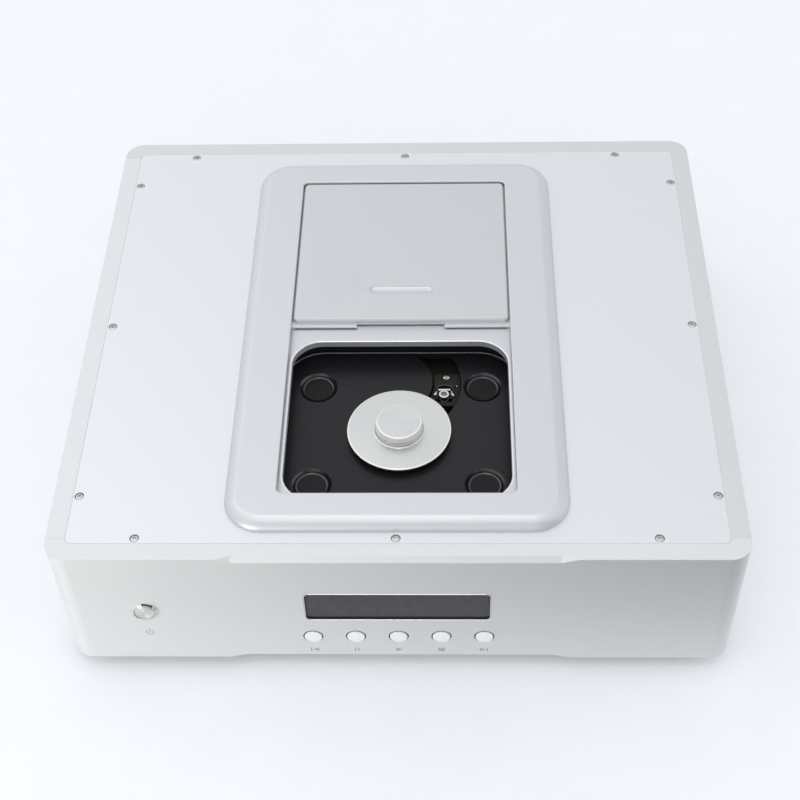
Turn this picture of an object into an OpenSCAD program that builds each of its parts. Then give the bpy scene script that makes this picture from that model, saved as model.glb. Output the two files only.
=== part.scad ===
// Top-loading compact disc transport. A case of four thick aluminium panels with an inset cover, and
// a raised frame in which a flat lid slides back by hand to open the disc well. In the well are a
// sprung deck, a spindle with a lift-off disc clamp, and a pickup on a swinging arm.
// Millimetres. +Z is up, the front panel faces -Y, and the origin is on the floor below the middle.

/* [Case] */
// Width of the case
case_w = 430; // [410:1:460]
// Depth of the case from the front face to the rear face
case_d = 392; // [384:1:430]
// Height of the upright panels
panel_h = 110; // [104:1:126]
// Thickness of the upright panels
wall_t = 12; // [10:0.5:14]
// Radius of the upright outer corners
corner_r = 13.5; // [8:0.5:16]
// Radius of the inner corners
inner_r = 4; // [2:0.5:6]
// Thickness of the top cover
cover_t = 4; // [3.5:0.5:5]
// Thickness of the base plate
base_t = 3; // [2.5:0.5:4]
// Width and height of the screw rails inside the panels
rail = 8; // [7:0.5:9]
// Gap round the cover and the base plate
seam = 0.2; // [0.15:0.05:0.5]
// Size of a corner bracket
bracket_w = 15; // [12:1:18]

/* [Cover screws] */
// Distance of the outer screws of the front and rear rows from the case's sides
screw_row_x = 55; // [45:1:75]
// Distance of the outer screws of the side rows from the front and rear faces
screw_row_y = 48.5; // [42:0.5:65]
// Diameter of a screw head
screw_head_d = 5.6; // [5:0.1:6]
// Height of a screw head
screw_head_h = 1.8; // [1.5:0.1:2]
// Diameter of a screw shank
screw_d = 3; // [2.5:0.1:3.5]
// Length of a screw shank below its head
screw_l = 7; // [6:0.5:8]

/* [Feet] */
// Height of the panels above the floor
foot_h = 10; // [8:0.5:16]
// Diameter of a foot
foot_d = 44; // [36:1:50]
// Distance of the feet from the case's sides
foot_x = 50; // [45:1:65]
// Distance of the feet from the front and rear faces
foot_y = 51; // [46:1:66]
// Diameter of a foot's rubber pad
pad_d = 34; // [28:1:35]
// Thickness of a rubber pad
pad_t = 3; // [2:0.5:4]
// How far a pad stands out of its foot
pad_stand = 1.5; // [1:0.25:1.75]

/* [Lid frame] */
// Width of the raised frame
bezel_w = 215; // [208:1:226]
// Height of the raised frame above the cover
bezel_h = 7.6; // [7.4:0.1:9]
// Radius of the frame's corners
bezel_r = 24; // [16:1:30]
// Radius of the frame's rounded top edge
bezel_edge = 7; // [3:0.5:7]
// Distance from the front face to the raised frame
bezel_setback = 20.5; // [18:0.5:24]
// Distance from the raised frame to the rear face
bezel_rear = 29.5; // [27:0.5:34]
// Width of the lid's opening
slot_w = 149.2; // [148.2:0.2:153]
// Width of the frame in front of the opening
slot_border = 25; // [22:0.5:26]
// Width of the frame behind the opening
slot_back = 24.8; // [21:0.2:27]
// Radius of the opening's corners
slot_r = 4; // [2:0.5:6]
// Depth of the groove in the frame's sides that the lid's slide runs in
runner = 1.5; // [1:0.1:2.5]
// Depth of the pocket under the front of the frame for the lid's lip
tuck = 7; // [6:0.5:8]
// Thickness of the plate that is the floor under the lid
floor_t = 3.7; // [3:0.1:3.9]
// Height of the plate's raised middle, which the lid runs on
floor_step = 1.1; // [0.8:0.1:1.4]
// Width of the plate's land outside the groove
track_land = 8; // [7:0.5:9]

/* [Lid] */
// Length of the lid
lid_l = 142; // [140:0.5:143]
// Gap at each side of the lid
lid_side_gap = 0.5; // [0.4:0.1:1.5]
// Gap behind the open lid
lid_rear_gap = 0.6; // [0.4:0.1:3]
// Thickness of the lid
lid_t = 3.7; // [3.4:0.1:4.2]
// Radius of the lid's corners
lid_r = 4; // [3:0.5:6]
// Radius of the lid's rounded top edge
lid_edge = 1.4; // [0.5:0.1:2]
// Thickness of the slide under the lid
slider_t = 1.2; // [1.1:0.1:1.4]
// How far the slide's lip stands out in front of the lid
lip = 3.3; // [2.8:0.1:4]
// Width of the notch in the lip
notch_w = 60; // [40:1:80]
// Thickness of the low-friction glide strips
glide_t = 0.8; // [0.6:0.1:1]
// Width of a glide strip
glide_w = 3; // [2:0.1:3.5]
// Length of the finger groove
grip_w = 44; // [35:1:55]
// Width of the finger groove
grip_d = 7.5; // [6:0.25:9]
// Depth of the finger groove
grip_depth = 1.8; // [1:0.1:2.2]
// Distance from the lid's front edge to the finger groove
grip_y = 29.5; // [20:0.5:40]

/* [Disc well] */
// Width of the well's opening
well_w = 144.6; // [140:0.2:145]
// Length of the well's opening
well_l = 134.2; // [130:0.2:136]
// Radius of the opening's corners
well_r = 20; // [14:0.5:26]
// Depth of the deck below the case's top
deck_drop = 17.3; // [16.5:0.1:19]
// Thickness of the deck
deck_t = 4; // [3.5:0.1:5]
// How far the deck reaches past the opening
deck_over = 7.2; // [6.5:0.1:8]
// Gap round the sprung deck
deck_gap = 0.8; // [0.5:0.1:1]
// Wall of the well's shroud
shroud_t = 2; // [1.5:0.1:2.5]
// Distance of the deck's mounts from the spindle, across
cup_x = 55.6; // [54:0.2:57]
// Distance of the deck's mounts from the spindle, front to back
cup_y = 41.7; // [40:0.2:44]
// Diameter of a mount's recess in the deck
cup_d = 26.4; // [25:0.2:27]
// Depth of a mount's recess
cup_depth = 2; // [1.5:0.1:2.2]
// Diameter of a mount's cap
cap_d = 21; // [20:0.2:22]
// Diameter of a rubber damper
damper_d = 16; // [14:0.5:18]
// Height of a damper under the deck
damper_h = 6; // [4:0.5:8]
// Diameter of a deck pillar
pillar_d = 14; // [12:0.5:16]
// Diameter of the shank that holds a damper to its pillar
shank_d = 5; // [4:0.1:6]

/* [Spindle and clamp] */
// Diameter of the motor
motor_d = 24; // [20:0.5:25]
// Length of the motor
motor_l = 17; // [14:0.5:20]
// Diameter of the spindle's shaft
spindle_d = 3; // [2:0.1:4]
// Diameter of the hub that the disc sits on
hub_d = 30; // [28:0.2:31]
// Thickness of the hub
hub_t = 2.1; // [1.8:0.1:2.6]
// Diameter of the hub's nose, for a disc's 15 mm hole
nose_d = 14.8; // [14.6:0.05:14.9]
// Height of the hub's nose
nose_h = 3.2; // [2.5:0.1:4]
// Height of the disc's seat above the deck
seat_h = 3.6; // [3.4:0.1:4.5]
// Diameter of the disc clamp
clamp_d = 68.2; // [60:0.2:74]
// Thickness of the clamp's flange
clamp_t = 2.2; // [2:0.1:3]
// Diameter of the clamp's boss
boss_d = 31; // [29.5:0.2:34]
// Height of the clamp's boss above its flange
boss_h = 8.3; // [7.5:0.1:8.6]
// Diameter of the magnet in the clamp
magnet_d = 25; // [22:0.5:26]
// Height of the magnet
magnet_h = 5; // [4:0.1:6]

/* [Pickup] */
// Place of the arm's pivot from the spindle, across
pivot_x = -7.7; // [-8.5:0.1:-7]
// Place of the arm's pivot from the spindle, towards the rear
pivot_y = 46.5; // [46:0.1:47]
// Distance of the lens from the pivot
arm_r = 38.7; // [38.4:0.1:39]
// Angle of the arm at rest, from straight across
arm_angle = -15.9; // [-17:0.1:-15]
// Width of the pickup's head inside and outside the lens
head_side = [8.4, 9.5]; // [8:0.1:10]
// Reach of the pickup's head in front of and behind the pivot
head_reach = [19.5, 9]; // [8:0.1:20]
// Gap between the head and the deck's slot
slot_gap = 0.8; // [0.5:0.1:1]
// Angle that the arm swings in from rest, towards the spindle
swing_in = 35.5; // [34:0.5:36]
// Reach of the slot behind the pivot
slot_reach = 25.2; // [25:0.1:25.8]
// Diameter of the pivot's shaft
pivot_d = 4; // [3:0.1:5]
// Diameter of the pivot's bearings
bearing_d = 9; // [8:0.1:10]
// Width of a pivot bearing
bearing_t = 3; // [2:0.1:4]
// Diameter of the arm's sleeve
sleeve_d = 13; // [12:0.1:15]
// Length of the arm's sleeve
sleeve_l = 10.6; // [9.5:0.1:12]
// Thickness of the arm
arm_t = 5; // [3.5:0.1:6]
// Size of the lens holder across and along the arm
holder = [7.6, 8.8]; // [7:0.1:9]
// Diameter of the lens
lens_d = 5; // [4:0.1:6]
// Height of the lens above the deck
lens_rise = 0.6; // [0.2:0.1:1]
// Outer radius of the arm's coil
coil_r = 27; // [25:0.5:28]
// Width of the arm's coil
coil_w = 12; // [10:0.5:13]

/* [Front] */
// Width of the display window
window_w = 116.6; // [100:0.2:124]
// Height of the display window
window_h = 28.6; // [22:0.2:30]
// Distance from the rim down to the window
window_drop = 37; // [34:0.5:40]
// Radius of the window's corners
window_r = 3.25; // [2:0.25:4]
// Depth of the window behind the front face
window_recess = 1.3; // [1:0.1:2.5]
// Chamfer round the window's opening
window_chamfer = 0.6; // [0.3:0.1:1]
// Thickness of the web left behind the front face
web_t = 4; // [3.5:0.25:5]
// Wall of the black gasket round the window
gasket_t = 0.6; // [0.5:0.1:1.2]
// Diameter of the five buttons
button_d = 12.4; // [10:0.2:14]
// Distance between the buttons
button_pitch = 27.5; // [22:0.5:29]
// Distance from the rim down to the buttons
button_drop = 84.9; // [83:0.1:86]
// How far the buttons stand out
button_stand = 1; // [0.8:0.1:2]
// Travel of a button
button_travel = 0.8; // [0.4:0.1:1]
// Distance of the power switch from the case's left side
power_x = 55; // [46:1:75]
// Distance from the rim down to the power switch
power_drop = 56; // [45:0.5:65]
// Diameter of the power switch's ring
ring_d = 17.6; // [17:0.2:22]
// How far the ring stands out
ring_h = 2; // [1.5:0.1:3]
// Diameter of the power switch's barrel
barrel_d = 16; // [15.5:0.1:16.5]
// Diameter of the power button
power_d = 13.8; // [12:0.1:14]
// Depth of the power button's face below the ring
power_sink = 0.4; // [0.2:0.1:1]
// Travel of the power button
power_travel = 1.5; // [1:0.1:2]
// Width of the bevelled stretch of the front's edges, without its tapered ends
bevel_w = 200; // [160:1:260]
// Length of a bevel's tapered end
bevel_taper = 11; // [5:0.5:20]
// Depth and height of the bevel
bevel = [3.2, 3.4]; // [1:0.1:6]

/* [Rear and inside] */
// Distance of the mains inlet from the case's right side
inlet_x = 65; // [58:1:75]
// Distance of the coaxial jack from the case's left side
coax_x = 95; // [65:1:115]
// Distance of the three-pin jack from the case's left side
aes_x = 155; // [140:1:175]
// Height of the connectors above the base
jack_z = 55; // [48:0.5:58]
// Radius of the coaxial jack's barrel
coax_r = 4.15; // [4.1:0.05:4.2]
// Width and depth of the main circuit board
main_board_size = [160, 130]; // [100:1:170]
// Width and depth of the power supply board
supply_size = [84, 120]; // [60:1:130]
// Height of the board standoffs
standoff_h = 8; // [6:0.5:10]
// Thickness of the circuit boards
board_t = 1.6; // [1.2:0.1:2]
// Diameter of the toroidal transformer
toroid_d = 96; // [80:1:100]
// Height of the transformer
toroid_h = 42; // [36:1:50]

/* [Hidden] */
$fn = 96;

// Running gap of a shaft, slip gap of a screw or stud, and gap of a piece that moves by hand
run_gap = 0.05;
slip_gap = 0.1;
hand_gap = 0.3;
// Overshoot of a cut past the face it leaves, and depth that a rail is rooted in its panel
past = 1;
// Wall round a screw's hex socket, and the metal left below it
socket_wall = 1.2;
socket_floor = 0.6;

// Levels of the case
base_z = foot_h;
inside_z = base_z + base_t;
rim_z = base_z + panel_h;
cover_z = rim_z - cover_t;

// Inside of the panels, and the seam where a side panel meets the front or rear panel
inner_x = case_w / 2 - wall_t;
inner_y = case_d / 2 - wall_t;
joint_y = inner_y - inner_r;
front_y = -case_d / 2;
web_y = front_y + web_t;
rear_web_y = inner_y + web_t;

// Gap at a rail's ends, and places of the cover's and the base's screws over the middle of the rails
rail_end = 0.5;
rail_x = inner_x - rail / 2;
rail_y = inner_y - rail / 2;
SCREW_POINTS = concat(
    [for (x = [-1, 0, 1], y = [-1, 1]) [x * (case_w / 2 - screw_row_x), y * rail_y]],
    [for (x = [-1, 1], y = [-1, 0, 1]) [x * rail_x, y * (case_d / 2 - screw_row_y)]]
);
foot_floor = 1.5;
FOOT_POINTS = [for (x = [-1, 1], y = [-1, 1]) [x * (case_w / 2 - foot_x), y * (case_d / 2 - foot_y)]];

// The raised frame, the opening in it and the floor plate below
bezel_l = case_d - bezel_setback - bezel_rear;
bezel_y = front_y + bezel_setback + bezel_l / 2;
slot_l = bezel_l - slot_border - slot_back;
slot_front = front_y + bezel_setback + slot_border;
slot_rear = slot_front + slot_l;
slot_y = slot_front + slot_l / 2;
floor_z = rim_z + floor_step;
groove_h = floor_step + glide_t + slider_t + hand_gap;
groove_w = slot_w + 2 * runner;
groove_l = tuck + slot_l + runner;
groove_y = slot_front - tuck + groove_l / 2;
track_w = groove_w + 2 * track_land;
track_l = groove_l + 2 * track_land;
track_z = rim_z - floor_t;

// Screws that hold the frame to the floor plate and to the cover
track_screw_x = groove_w / 2 + track_land / 2;
bezel_screw_x = (track_w / 2 + bezel_w / 2 - bezel_edge) / 2;
TRACK_SCREWS = [for (x = [-1, 1], y = [-1, 0, 1])
    [x * track_screw_x, groove_y + y * (groove_l / 2 - track_land)]];
BEZEL_SCREWS = [for (x = [-1, 1], y = [-1, 0, 1])
    [x * bezel_screw_x, bezel_y + y * (bezel_l / 2 - bezel_r)]];
bezel_screw_up = 4.5;

// The open lid and the slide under it
lid_w = slot_w - 2 * lid_side_gap;
lid_rear = slot_rear - lid_rear_gap;
lid_front = lid_rear - lid_l;
lid_y = (lid_front + lid_rear) / 2;
slider_w = groove_w - 2 * hand_gap;
slider_z = floor_z + glide_t;
// The slide ends short of the lid's rear edge, clear of the groove's round corners
slide_short = 1.5;
slider_l = lid_l + lip - slide_short;
lid_z = slider_z + slider_t;
lid_screw_in = 14.5;
LID_SCREWS = [for (x = [-1, 1], y = [-1, 1])
    [x * (lid_w / 2 - lid_screw_in), lid_y + y * (lid_l / 2 - lid_screw_in)]];
lid_screw_up = 2.4;
lid_head_h = 0.8;

// The disc well
well_y = slot_front + well_l / 2;
deck_z = rim_z - deck_drop;
deck_low = deck_z - deck_t;
shroud_over = deck_over + deck_gap;
neck_wall = 2;
CUPS = [for (x = [-1, 1], y = [-1, 1]) [x * cup_x, well_y + y * cup_y]];
neck_d = shank_d + 2 * neck_wall;
cap_z = deck_z - cup_depth + hand_gap;
cap_sunk = 0.3;
cup_gap = 0.6;
shank_reach = 10;
spindle_room = 2.5;
pillar_top = deck_low - damper_h;
// The lid's sensor behind the shroud
sensor_w = 12;
sensor_d = 6;
sensor_h = 8;
sensor_gap = 2;

// The spindle and the clamp
seat_z = deck_z + seat_h;
clamp_z = seat_z;
motor_z = deck_low - motor_l;
motor_floor = 3;
servo_w = 90;
servo_d = 64;
servo_ahead = 6.4;

// The pickup, whose own frame has its origin at the pivot
pivot_at = [pivot_x, well_y + pivot_y, 0];
arm_gap = 1;
arm_w = 10;
pivot_tail = 3;
sleeve_z = deck_low - arm_gap - sleeve_l;
arm_z = sleeve_z + arm_gap;
head_sunk = 2;
head_top = deck_z - head_sunk;
lens_at = arm_r * [cos(arm_angle), sin(arm_angle)];
lens_ring_h = 0.8;
lens_dome = 0.8;
lens_seat = 0.4;
holder_top = deck_z + lens_rise - lens_ring_h - lens_dome;
holder_depth = 5.7;
holder_low = head_top - holder_depth;
holder_room = 1;
yoke_gap = 0.4;
yoke_wall = 1.2;
actuator_pocket = [holder[0] + 2 * (yoke_gap + yoke_wall) + 2 * slip_gap,
                   holder[1] + 2 * holder_room];
focus_room = 1.2;
// The coil hangs on the arm's tail between the plates of the steel yoke
tail_t = 2;
coil_t = 3;
coil_z = arm_z + tail_t;
yoke_plate = 2;
yoke_room = 1;
yoke_magnet_t = 3;
yoke_low = arm_z - yoke_room - yoke_magnet_t - yoke_plate;
yoke_reach = [128, 184];

// The front panel's window, buttons and power switch
window_z = rim_z - window_drop - window_h / 2;
button_z = rim_z - button_drop;
power_at = power_x - case_w / 2;
power_z = rim_z - power_drop;
BUTTON_X = [for (i = [-2:2]) i * button_pitch];
window_flange = 4;
window_flange_t = 2;
glass_t = 5;
flange_w = 1.8;
flange_t = 1.5;
stem_d = 5;
stem_l = 3.4;
key_board_h = 16;
glass_margin = 2;
display_margin = [8, 3];
pocket_room = 2;
pocket_low = button_z - key_board_h / 2 - 2 * pocket_room;
pocket_high = rim_z - window_drop + window_flange + pocket_room;
switch_y = web_y + flange_t + stem_l + button_travel + hand_gap;
switch_t = 3.5;
switch_w = 6;
key_board_y = switch_y + switch_t;
key_post_d = 5;
flange_d = button_d + 2 * (flange_w + hand_gap);
key_post_x = 2 * button_pitch + (flange_d + key_post_d) / 2 + 3 * hand_gap;
pocket_w = 2 * pocket_room + max(window_w + 2 * display_margin[0], 2 * key_post_x + key_post_d);
barrel_back = 14;
barrel_l = wall_t + barrel_back;
nut_t = 4;
nut_wall = 3.5;
cap_t = 3;
stem_power_d = 8;
stem_power_l = 8;
cap_y = front_y - ring_h + power_sink;

// The connectors in the rear pocket
jack_at = base_z + jack_z;
inlet_at = case_w / 2 - inlet_x;
coax_at = coax_x - case_w / 2;
aes_at = aes_x - case_w / 2;
inlet_body = [27, 20];
inlet_hole = [24.4, 16.8];
inlet_flange = [48, 24, 2.5];
inlet_deep = 16;
inlet_pin_l = 11;
inlet_pin = [2, 4];
inlet_pin_x = 7;
inlet_pin_low = 1.5;
inlet_pin_high = 3;
INLET_PINS = [[-inlet_pin_x, -inlet_pin_low], [inlet_pin_x, -inlet_pin_low], [0, inlet_pin_high]];
aes_flange = [26, 31, 2];
aes_shell_r = 11.5;
aes_hole_r = 9.3;
aes_deep = 15;
coax_stand = 7.6;
coax_base = 2;
coax_bore = 3.3;
coax_hex = 2.2;
coax_tail = 10;

// The boards and the transformer, set out from the rails
board_edge = bracket_w - rail + past;
supply_back = 30;
toroid_back = 40;
toroid_rim = 14;
standoff_d = 6;
standoff_in = 6;
board_z = inside_z + standoff_h;
main_board_at = [-(inner_x - rail - board_edge - main_board_size[0] / 2),
                 inner_y - rail - board_edge - main_board_size[1] / 2];
supply_at = [inner_x - rail - board_edge - supply_size[0] / 2,
             -(inner_y - rail - supply_back - supply_size[1] / 2)];
toroid_at = [inner_x - rail - board_edge - toroid_d / 2,
             inner_y - rail - toroid_back - toroid_d / 2];
toroid_hole = 30;
STANDOFFS = [for (b = [[main_board_at, main_board_size], [supply_at, supply_size]], x = [-1, 1], y = [-1, 1])
    b[0] + [x * (b[1][0] / 2 - standoff_in), y * (b[1][1] / 2 - standoff_in)]];

// Outline of a rectangle with round corners, about the origin
module rounded_rect(w, d, r) {
    square([w - 2 * r, d], center = true);
    square([w, d - 2 * r], center = true);
    for (x = [-1, 1], y = [-1, 1])
        translate([x * (w / 2 - r), y * (d / 2 - r)]) circle(r);
}

// Outline with two round ends
module pill(w, d) {
    square([w - d, d], center = true);
    for (x = [-1, 1]) translate([x * (w - d) / 2, 0]) circle(d / 2);
}

// Flat plate with round corners, from z = 0 up
module plate(w, d, r, h) {
    linear_extrude(h) rounded_rect(w, d, r);
}

// Cross-section of a plate's border: as wide as the corner radius, with a quarter-round top edge
module border(r, h, edge) {
    square([r, h - edge]);
    square([r - edge, h]);
    intersection() {
        translate([r - edge, h - edge]) circle(edge);
        square([r, h]);
    }
}

// Plate whose top edge is a quarter round all the way round
module crowned_plate(w, d, r, h, edge) {
    cx = w / 2 - r;
    cy = d / 2 - r;
    translate([-cx, -cy, 0]) cube([2 * cx, 2 * cy, h]);
    for (a = [0, 180]) rotate([0, 0, a]) {
        translate([cx, cy, 0]) rotate([90, 0, 0]) linear_extrude(2 * cy) border(r, h, edge);
        translate([-cx, cy, 0]) rotate([90, 0, 90]) linear_extrude(2 * cx) border(r, h, edge);
        translate([cx, cy, 0]) rotate_extrude(angle = 90) border(r, h, edge);
        rotate([0, 0, 90]) translate([cy, cx, 0]) rotate_extrude(angle = 90) border(r, h, edge);
    }
}

// Solid that stands its outline up to face the front, from y = y0 to y0 + depth
module upright(x, y0, z, depth) {
    translate([x, y0 + depth, z]) rotate([90, 0, 0]) linear_extrude(depth) children();
}

// Cylinder that lies front to back, from y = y0 to y0 + len
module rod_y(x, y0, z, d, len) {
    translate([x, y0, z]) rotate([-90, 0, 0]) cylinder(d = d, h = len);
}

// Screw with its head's top at z = 0 and its shank pointing down
module screw(head_d, head_h, d, len) {
    difference() {
        union() {
            translate([0, 0, -head_h]) cylinder(d = head_d, h = head_h);
            translate([0, 0, -head_h - len]) cylinder(d = d, h = len + head_h / 2);
        }
        translate([0, 0, socket_floor - head_h]) cylinder(d = head_d - 2 * socket_wall, h = head_h, $fn = 6);
    }
}

// Room for that screw: a counterbore for its head and a hole for its shank
module screw_room(head_d, head_h, d, len) {
    translate([0, 0, -head_h]) cylinder(d = head_d + 4 * slip_gap, h = head_h + past);
    translate([0, 0, -head_h - len - slip_gap]) cylinder(d = d + 2 * slip_gap, h = len + head_h);
}

// Places a screw or its room at each cover point, sunk just below the cover
module at_cover_screws() {
    for (p = SCREW_POINTS) translate([p[0], p[1], rim_z - hand_gap]) children();
}

module at_base_screws() {
    for (p = SCREW_POINTS) translate([p[0], p[1], base_z + hand_gap]) mirror([0, 0, 1]) children();
}

module case_screw() {
    screw(screw_head_d, screw_head_h, screw_d, screw_l);
}

module case_screw_room() {
    screw_room(screw_head_d, screw_head_h, screw_d, screw_l);
}

// Outline of the four panels together
module panel_ring() {
    difference() {
        rounded_rect(case_w, case_d, corner_r);
        rounded_rect(2 * inner_x, 2 * inner_y, inner_r);
    }
}

// Front or rear panel as a plain shell with its corner returns and screw rails
module end_panel(side) {
    reach = case_d / 2 - joint_y;
    y0 = side < 0 ? -case_d / 2 : joint_y;
    rail_l = 2 * (inner_x - rail - rail_end);
    translate([0, 0, base_z]) linear_extrude(panel_h) intersection() {
        panel_ring();
        translate([-case_w / 2, y0]) square([case_w, reach]);
    }
    for (z = [inside_z, cover_z - rail])
        translate([-rail_l / 2, side < 0 ? -inner_y - past : inner_y - rail, z])
            cube([rail_l, rail + past, rail]);
}

module side_panel(side) {
    x0 = side < 0 ? -case_w / 2 : inner_x;
    rail_l = 2 * (inner_y - rail - rail_end);
    color("silver") difference() {
        union() {
            translate([0, 0, base_z]) linear_extrude(panel_h) intersection() {
                panel_ring();
                translate([x0, -joint_y]) square([wall_t, 2 * joint_y]);
            }
            for (z = [inside_z, cover_z - rail])
                translate([side < 0 ? -inner_x - past : inner_x - rail, -rail_l / 2, z])
                    cube([rail + past, rail_l, rail]);
        }
        at_cover_screws() case_screw_room();
        at_base_screws() case_screw_room();
    }
}

// Wedge cut from a long front edge: full size along bevel_w, running out to nothing at its ends
module bevel_cut(z, up) {
    half = bevel_w / 2;
    run = half + bevel_taper;
    far = 2 * past;
    polyhedron(
        points = [
            [-run, front_y, z], [run, front_y, z],
            [-half, front_y + bevel[0], z], [half, front_y + bevel[0], z],
            [-half, front_y, z - up * bevel[1]], [half, front_y, z - up * bevel[1]],
            [0, front_y - far, z + up * far]
        ],
        faces = up > 0
            ? [[4, 5, 3, 2], [4, 2, 0], [3, 5, 1], [6, 0, 2], [6, 2, 3],
               [6, 3, 1], [6, 1, 5], [6, 5, 4], [6, 4, 0]]
            : [[2, 3, 5, 4], [0, 2, 4], [1, 5, 3], [2, 0, 6], [3, 2, 6],
               [1, 3, 6], [5, 1, 6], [4, 5, 6], [0, 4, 6]]
    );
}

// Thin slice of the window's outline, grown all round, for its chamfer
module window_slice(y, grow) {
    upright(0, y, window_z, run_gap)
        rounded_rect(window_w + 2 * grow, window_h + 2 * grow, window_r + grow, $fn = 32);
}

module front_panel() {
    color("lightgray") difference() {
        union() {
            difference() {
                end_panel(-1);
                translate([-pocket_w / 2, web_y, pocket_low])
                    cube([pocket_w, wall_t, pocket_high - pocket_low]);
            }
            for (x = [-1, 1])
                rod_y(x * key_post_x, web_y - past, button_z, key_post_d, key_board_y - web_y + past);
        }
        bevel_cut(rim_z, 1);
        bevel_cut(base_z, -1);
        upright(0, front_y - past, window_z, wall_t) rounded_rect(window_w, window_h, window_r);
        hull() {
            window_slice(front_y - past, window_chamfer + past);
            window_slice(front_y + window_chamfer, 0);
        }
        for (x = BUTTON_X) rod_y(x, front_y - past, button_z, button_d + 2 * hand_gap, wall_t);
        rod_y(power_at, front_y - past, power_z, barrel_d + 2 * slip_gap, wall_t + 2 * past);
        at_cover_screws() case_screw_room();
        at_base_screws() case_screw_room();
    }
}

module rear_panel() {
    margin = 14;
    color("silver") difference() {
        end_panel(1);
        upright(0, rear_web_y, (base_z + rim_z) / 2, wall_t)
            rounded_rect(2 * (inner_x - margin), panel_h - 2 * margin, inner_r);
        upright(inlet_at, inner_y - past, jack_at, wall_t)
            square(inlet_body + [1, 1] * 2 * slip_gap, center = true);
        rod_y(aes_at, inner_y - past, jack_at, 2 * (aes_shell_r + slip_gap), wall_t);
        rod_y(coax_at, inner_y - past, jack_at, 2 * (coax_r + slip_gap), wall_t);
        at_cover_screws() case_screw_room();
        at_base_screws() case_screw_room();
    }
}

module left_side_panel() side_panel(-1);

module right_side_panel() side_panel(1);

module base_plate() {
    color("dimgray") difference() {
        translate([0, 0, base_z])
            plate(2 * (inner_x - seam), 2 * (inner_y - seam), inner_r, base_t);
        at_base_screws() case_screw_room();
        for (p = FOOT_POINTS) translate([p[0], p[1], base_z - past])
            cylinder(d = shank_d + 2 * slip_gap, h = base_t + 2 * past);
        translate([toroid_at[0], toroid_at[1], base_z - past])
            cylinder(d = shank_d + 2 * slip_gap, h = base_t + 2 * past);
    }
}

module top_cover() {
    color("whitesmoke") difference() {
        translate([0, 0, cover_z])
            plate(2 * (inner_x - seam), 2 * (inner_y - seam), inner_r, cover_t);
        translate([0, groove_y, cover_z - past])
            plate(track_w + 2 * seam, track_l + 2 * seam, slot_r, cover_t + 2 * past);
        at_cover_screws() case_screw_room();
        at_bezel_screws(BEZEL_SCREWS, cover_z) frame_screw_room(cover_t);
    }
}

module corner_brackets() {
    corner_relief = 1;
    tall = cover_z - inside_z - 2 * (rail + rail_end);
    color("gray") for (x = [-1, 1], y = [-1, 1])
        translate([0, 0, inside_z + rail + rail_end]) linear_extrude(tall) intersection() {
            rounded_rect(2 * inner_x, 2 * inner_y, inner_r + corner_relief);
            translate([x * (inner_x - bracket_w / 2), y * (inner_y - bracket_w / 2)])
                square(bracket_w, center = true);
        }
}

module cover_screws() {
    color("darkgray") at_cover_screws() case_screw();
}

module base_screws() {
    color("darkgray") at_base_screws() case_screw();
}

module feet() {
    color("gainsboro") for (p = FOOT_POINTS) translate([p[0], p[1], 0]) difference() {
        translate([0, 0, pad_stand]) cylinder(d = foot_d, h = foot_h - pad_stand);
        translate([0, 0, pad_stand - past]) cylinder(d = pad_d + 2 * slip_gap, h = pad_t - pad_stand + past);
        translate([0, 0, pad_t + foot_floor]) cylinder(d = shank_d + 2 * slip_gap, h = foot_h);
    }
}

module foot_pads() {
    color("black") for (p = FOOT_POINTS) translate([p[0], p[1], 0]) cylinder(d = pad_d, h = pad_t);
}

module foot_screws() {
    head_h = 3;
    len = inside_z - pad_t - foot_floor - hand_gap;
    color("darkgray") for (p = FOOT_POINTS) translate([p[0], p[1], inside_z + head_h])
        screw(2 * shank_d, head_h, shank_d, len);
}

// Places a screw that comes up from below at each point, with its head flush with the face at z
module at_bezel_screws(points, z) {
    for (p = points) translate([p[0], p[1], z]) mirror([0, 0, 1]) children();
}

module frame_screw(through) {
    screw(screw_head_d, screw_head_h, screw_d, through - screw_head_h + bezel_screw_up);
}

module frame_screw_room(through) {
    screw_room(screw_head_d, screw_head_h, screw_d, through - screw_head_h + bezel_screw_up);
}

module lid_bezel() {
    color("lightgray") difference() {
        translate([0, bezel_y, rim_z]) crowned_plate(bezel_w, bezel_l, bezel_r, bezel_h, bezel_edge);
        translate([0, slot_y, rim_z - past]) plate(slot_w, slot_l, slot_r, bezel_h + 2 * past);
        translate([0, groove_y, rim_z - past]) plate(groove_w, groove_l, slot_r, groove_h + past);
        at_bezel_screws(TRACK_SCREWS, track_z) frame_screw_room(floor_t);
        at_bezel_screws(BEZEL_SCREWS, cover_z) frame_screw_room(cover_t);
    }
}

module track_plate() {
    color("lightgray") difference() {
        union() {
            translate([0, groove_y, track_z]) plate(track_w, track_l, slot_r, floor_t);
            translate([0, groove_y, rim_z - past])
                plate(groove_w - 2 * hand_gap, groove_l - 2 * hand_gap, slot_r - hand_gap, floor_step + past);
        }
        translate([0, well_y, track_z - past]) plate(well_w, well_l, well_r, floor_t + floor_step + 2 * past);
        at_bezel_screws(TRACK_SCREWS, track_z) frame_screw_room(floor_t);
    }
}

module bezel_screws() {
    color("darkgray") {
        at_bezel_screws(TRACK_SCREWS, track_z) frame_screw(floor_t);
        at_bezel_screws(BEZEL_SCREWS, cover_z) frame_screw(cover_t);
    }
}

module at_lid_screws() {
    for (p = LID_SCREWS) translate([p[0], p[1], slider_z]) mirror([0, 0, 1]) children();
}

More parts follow.
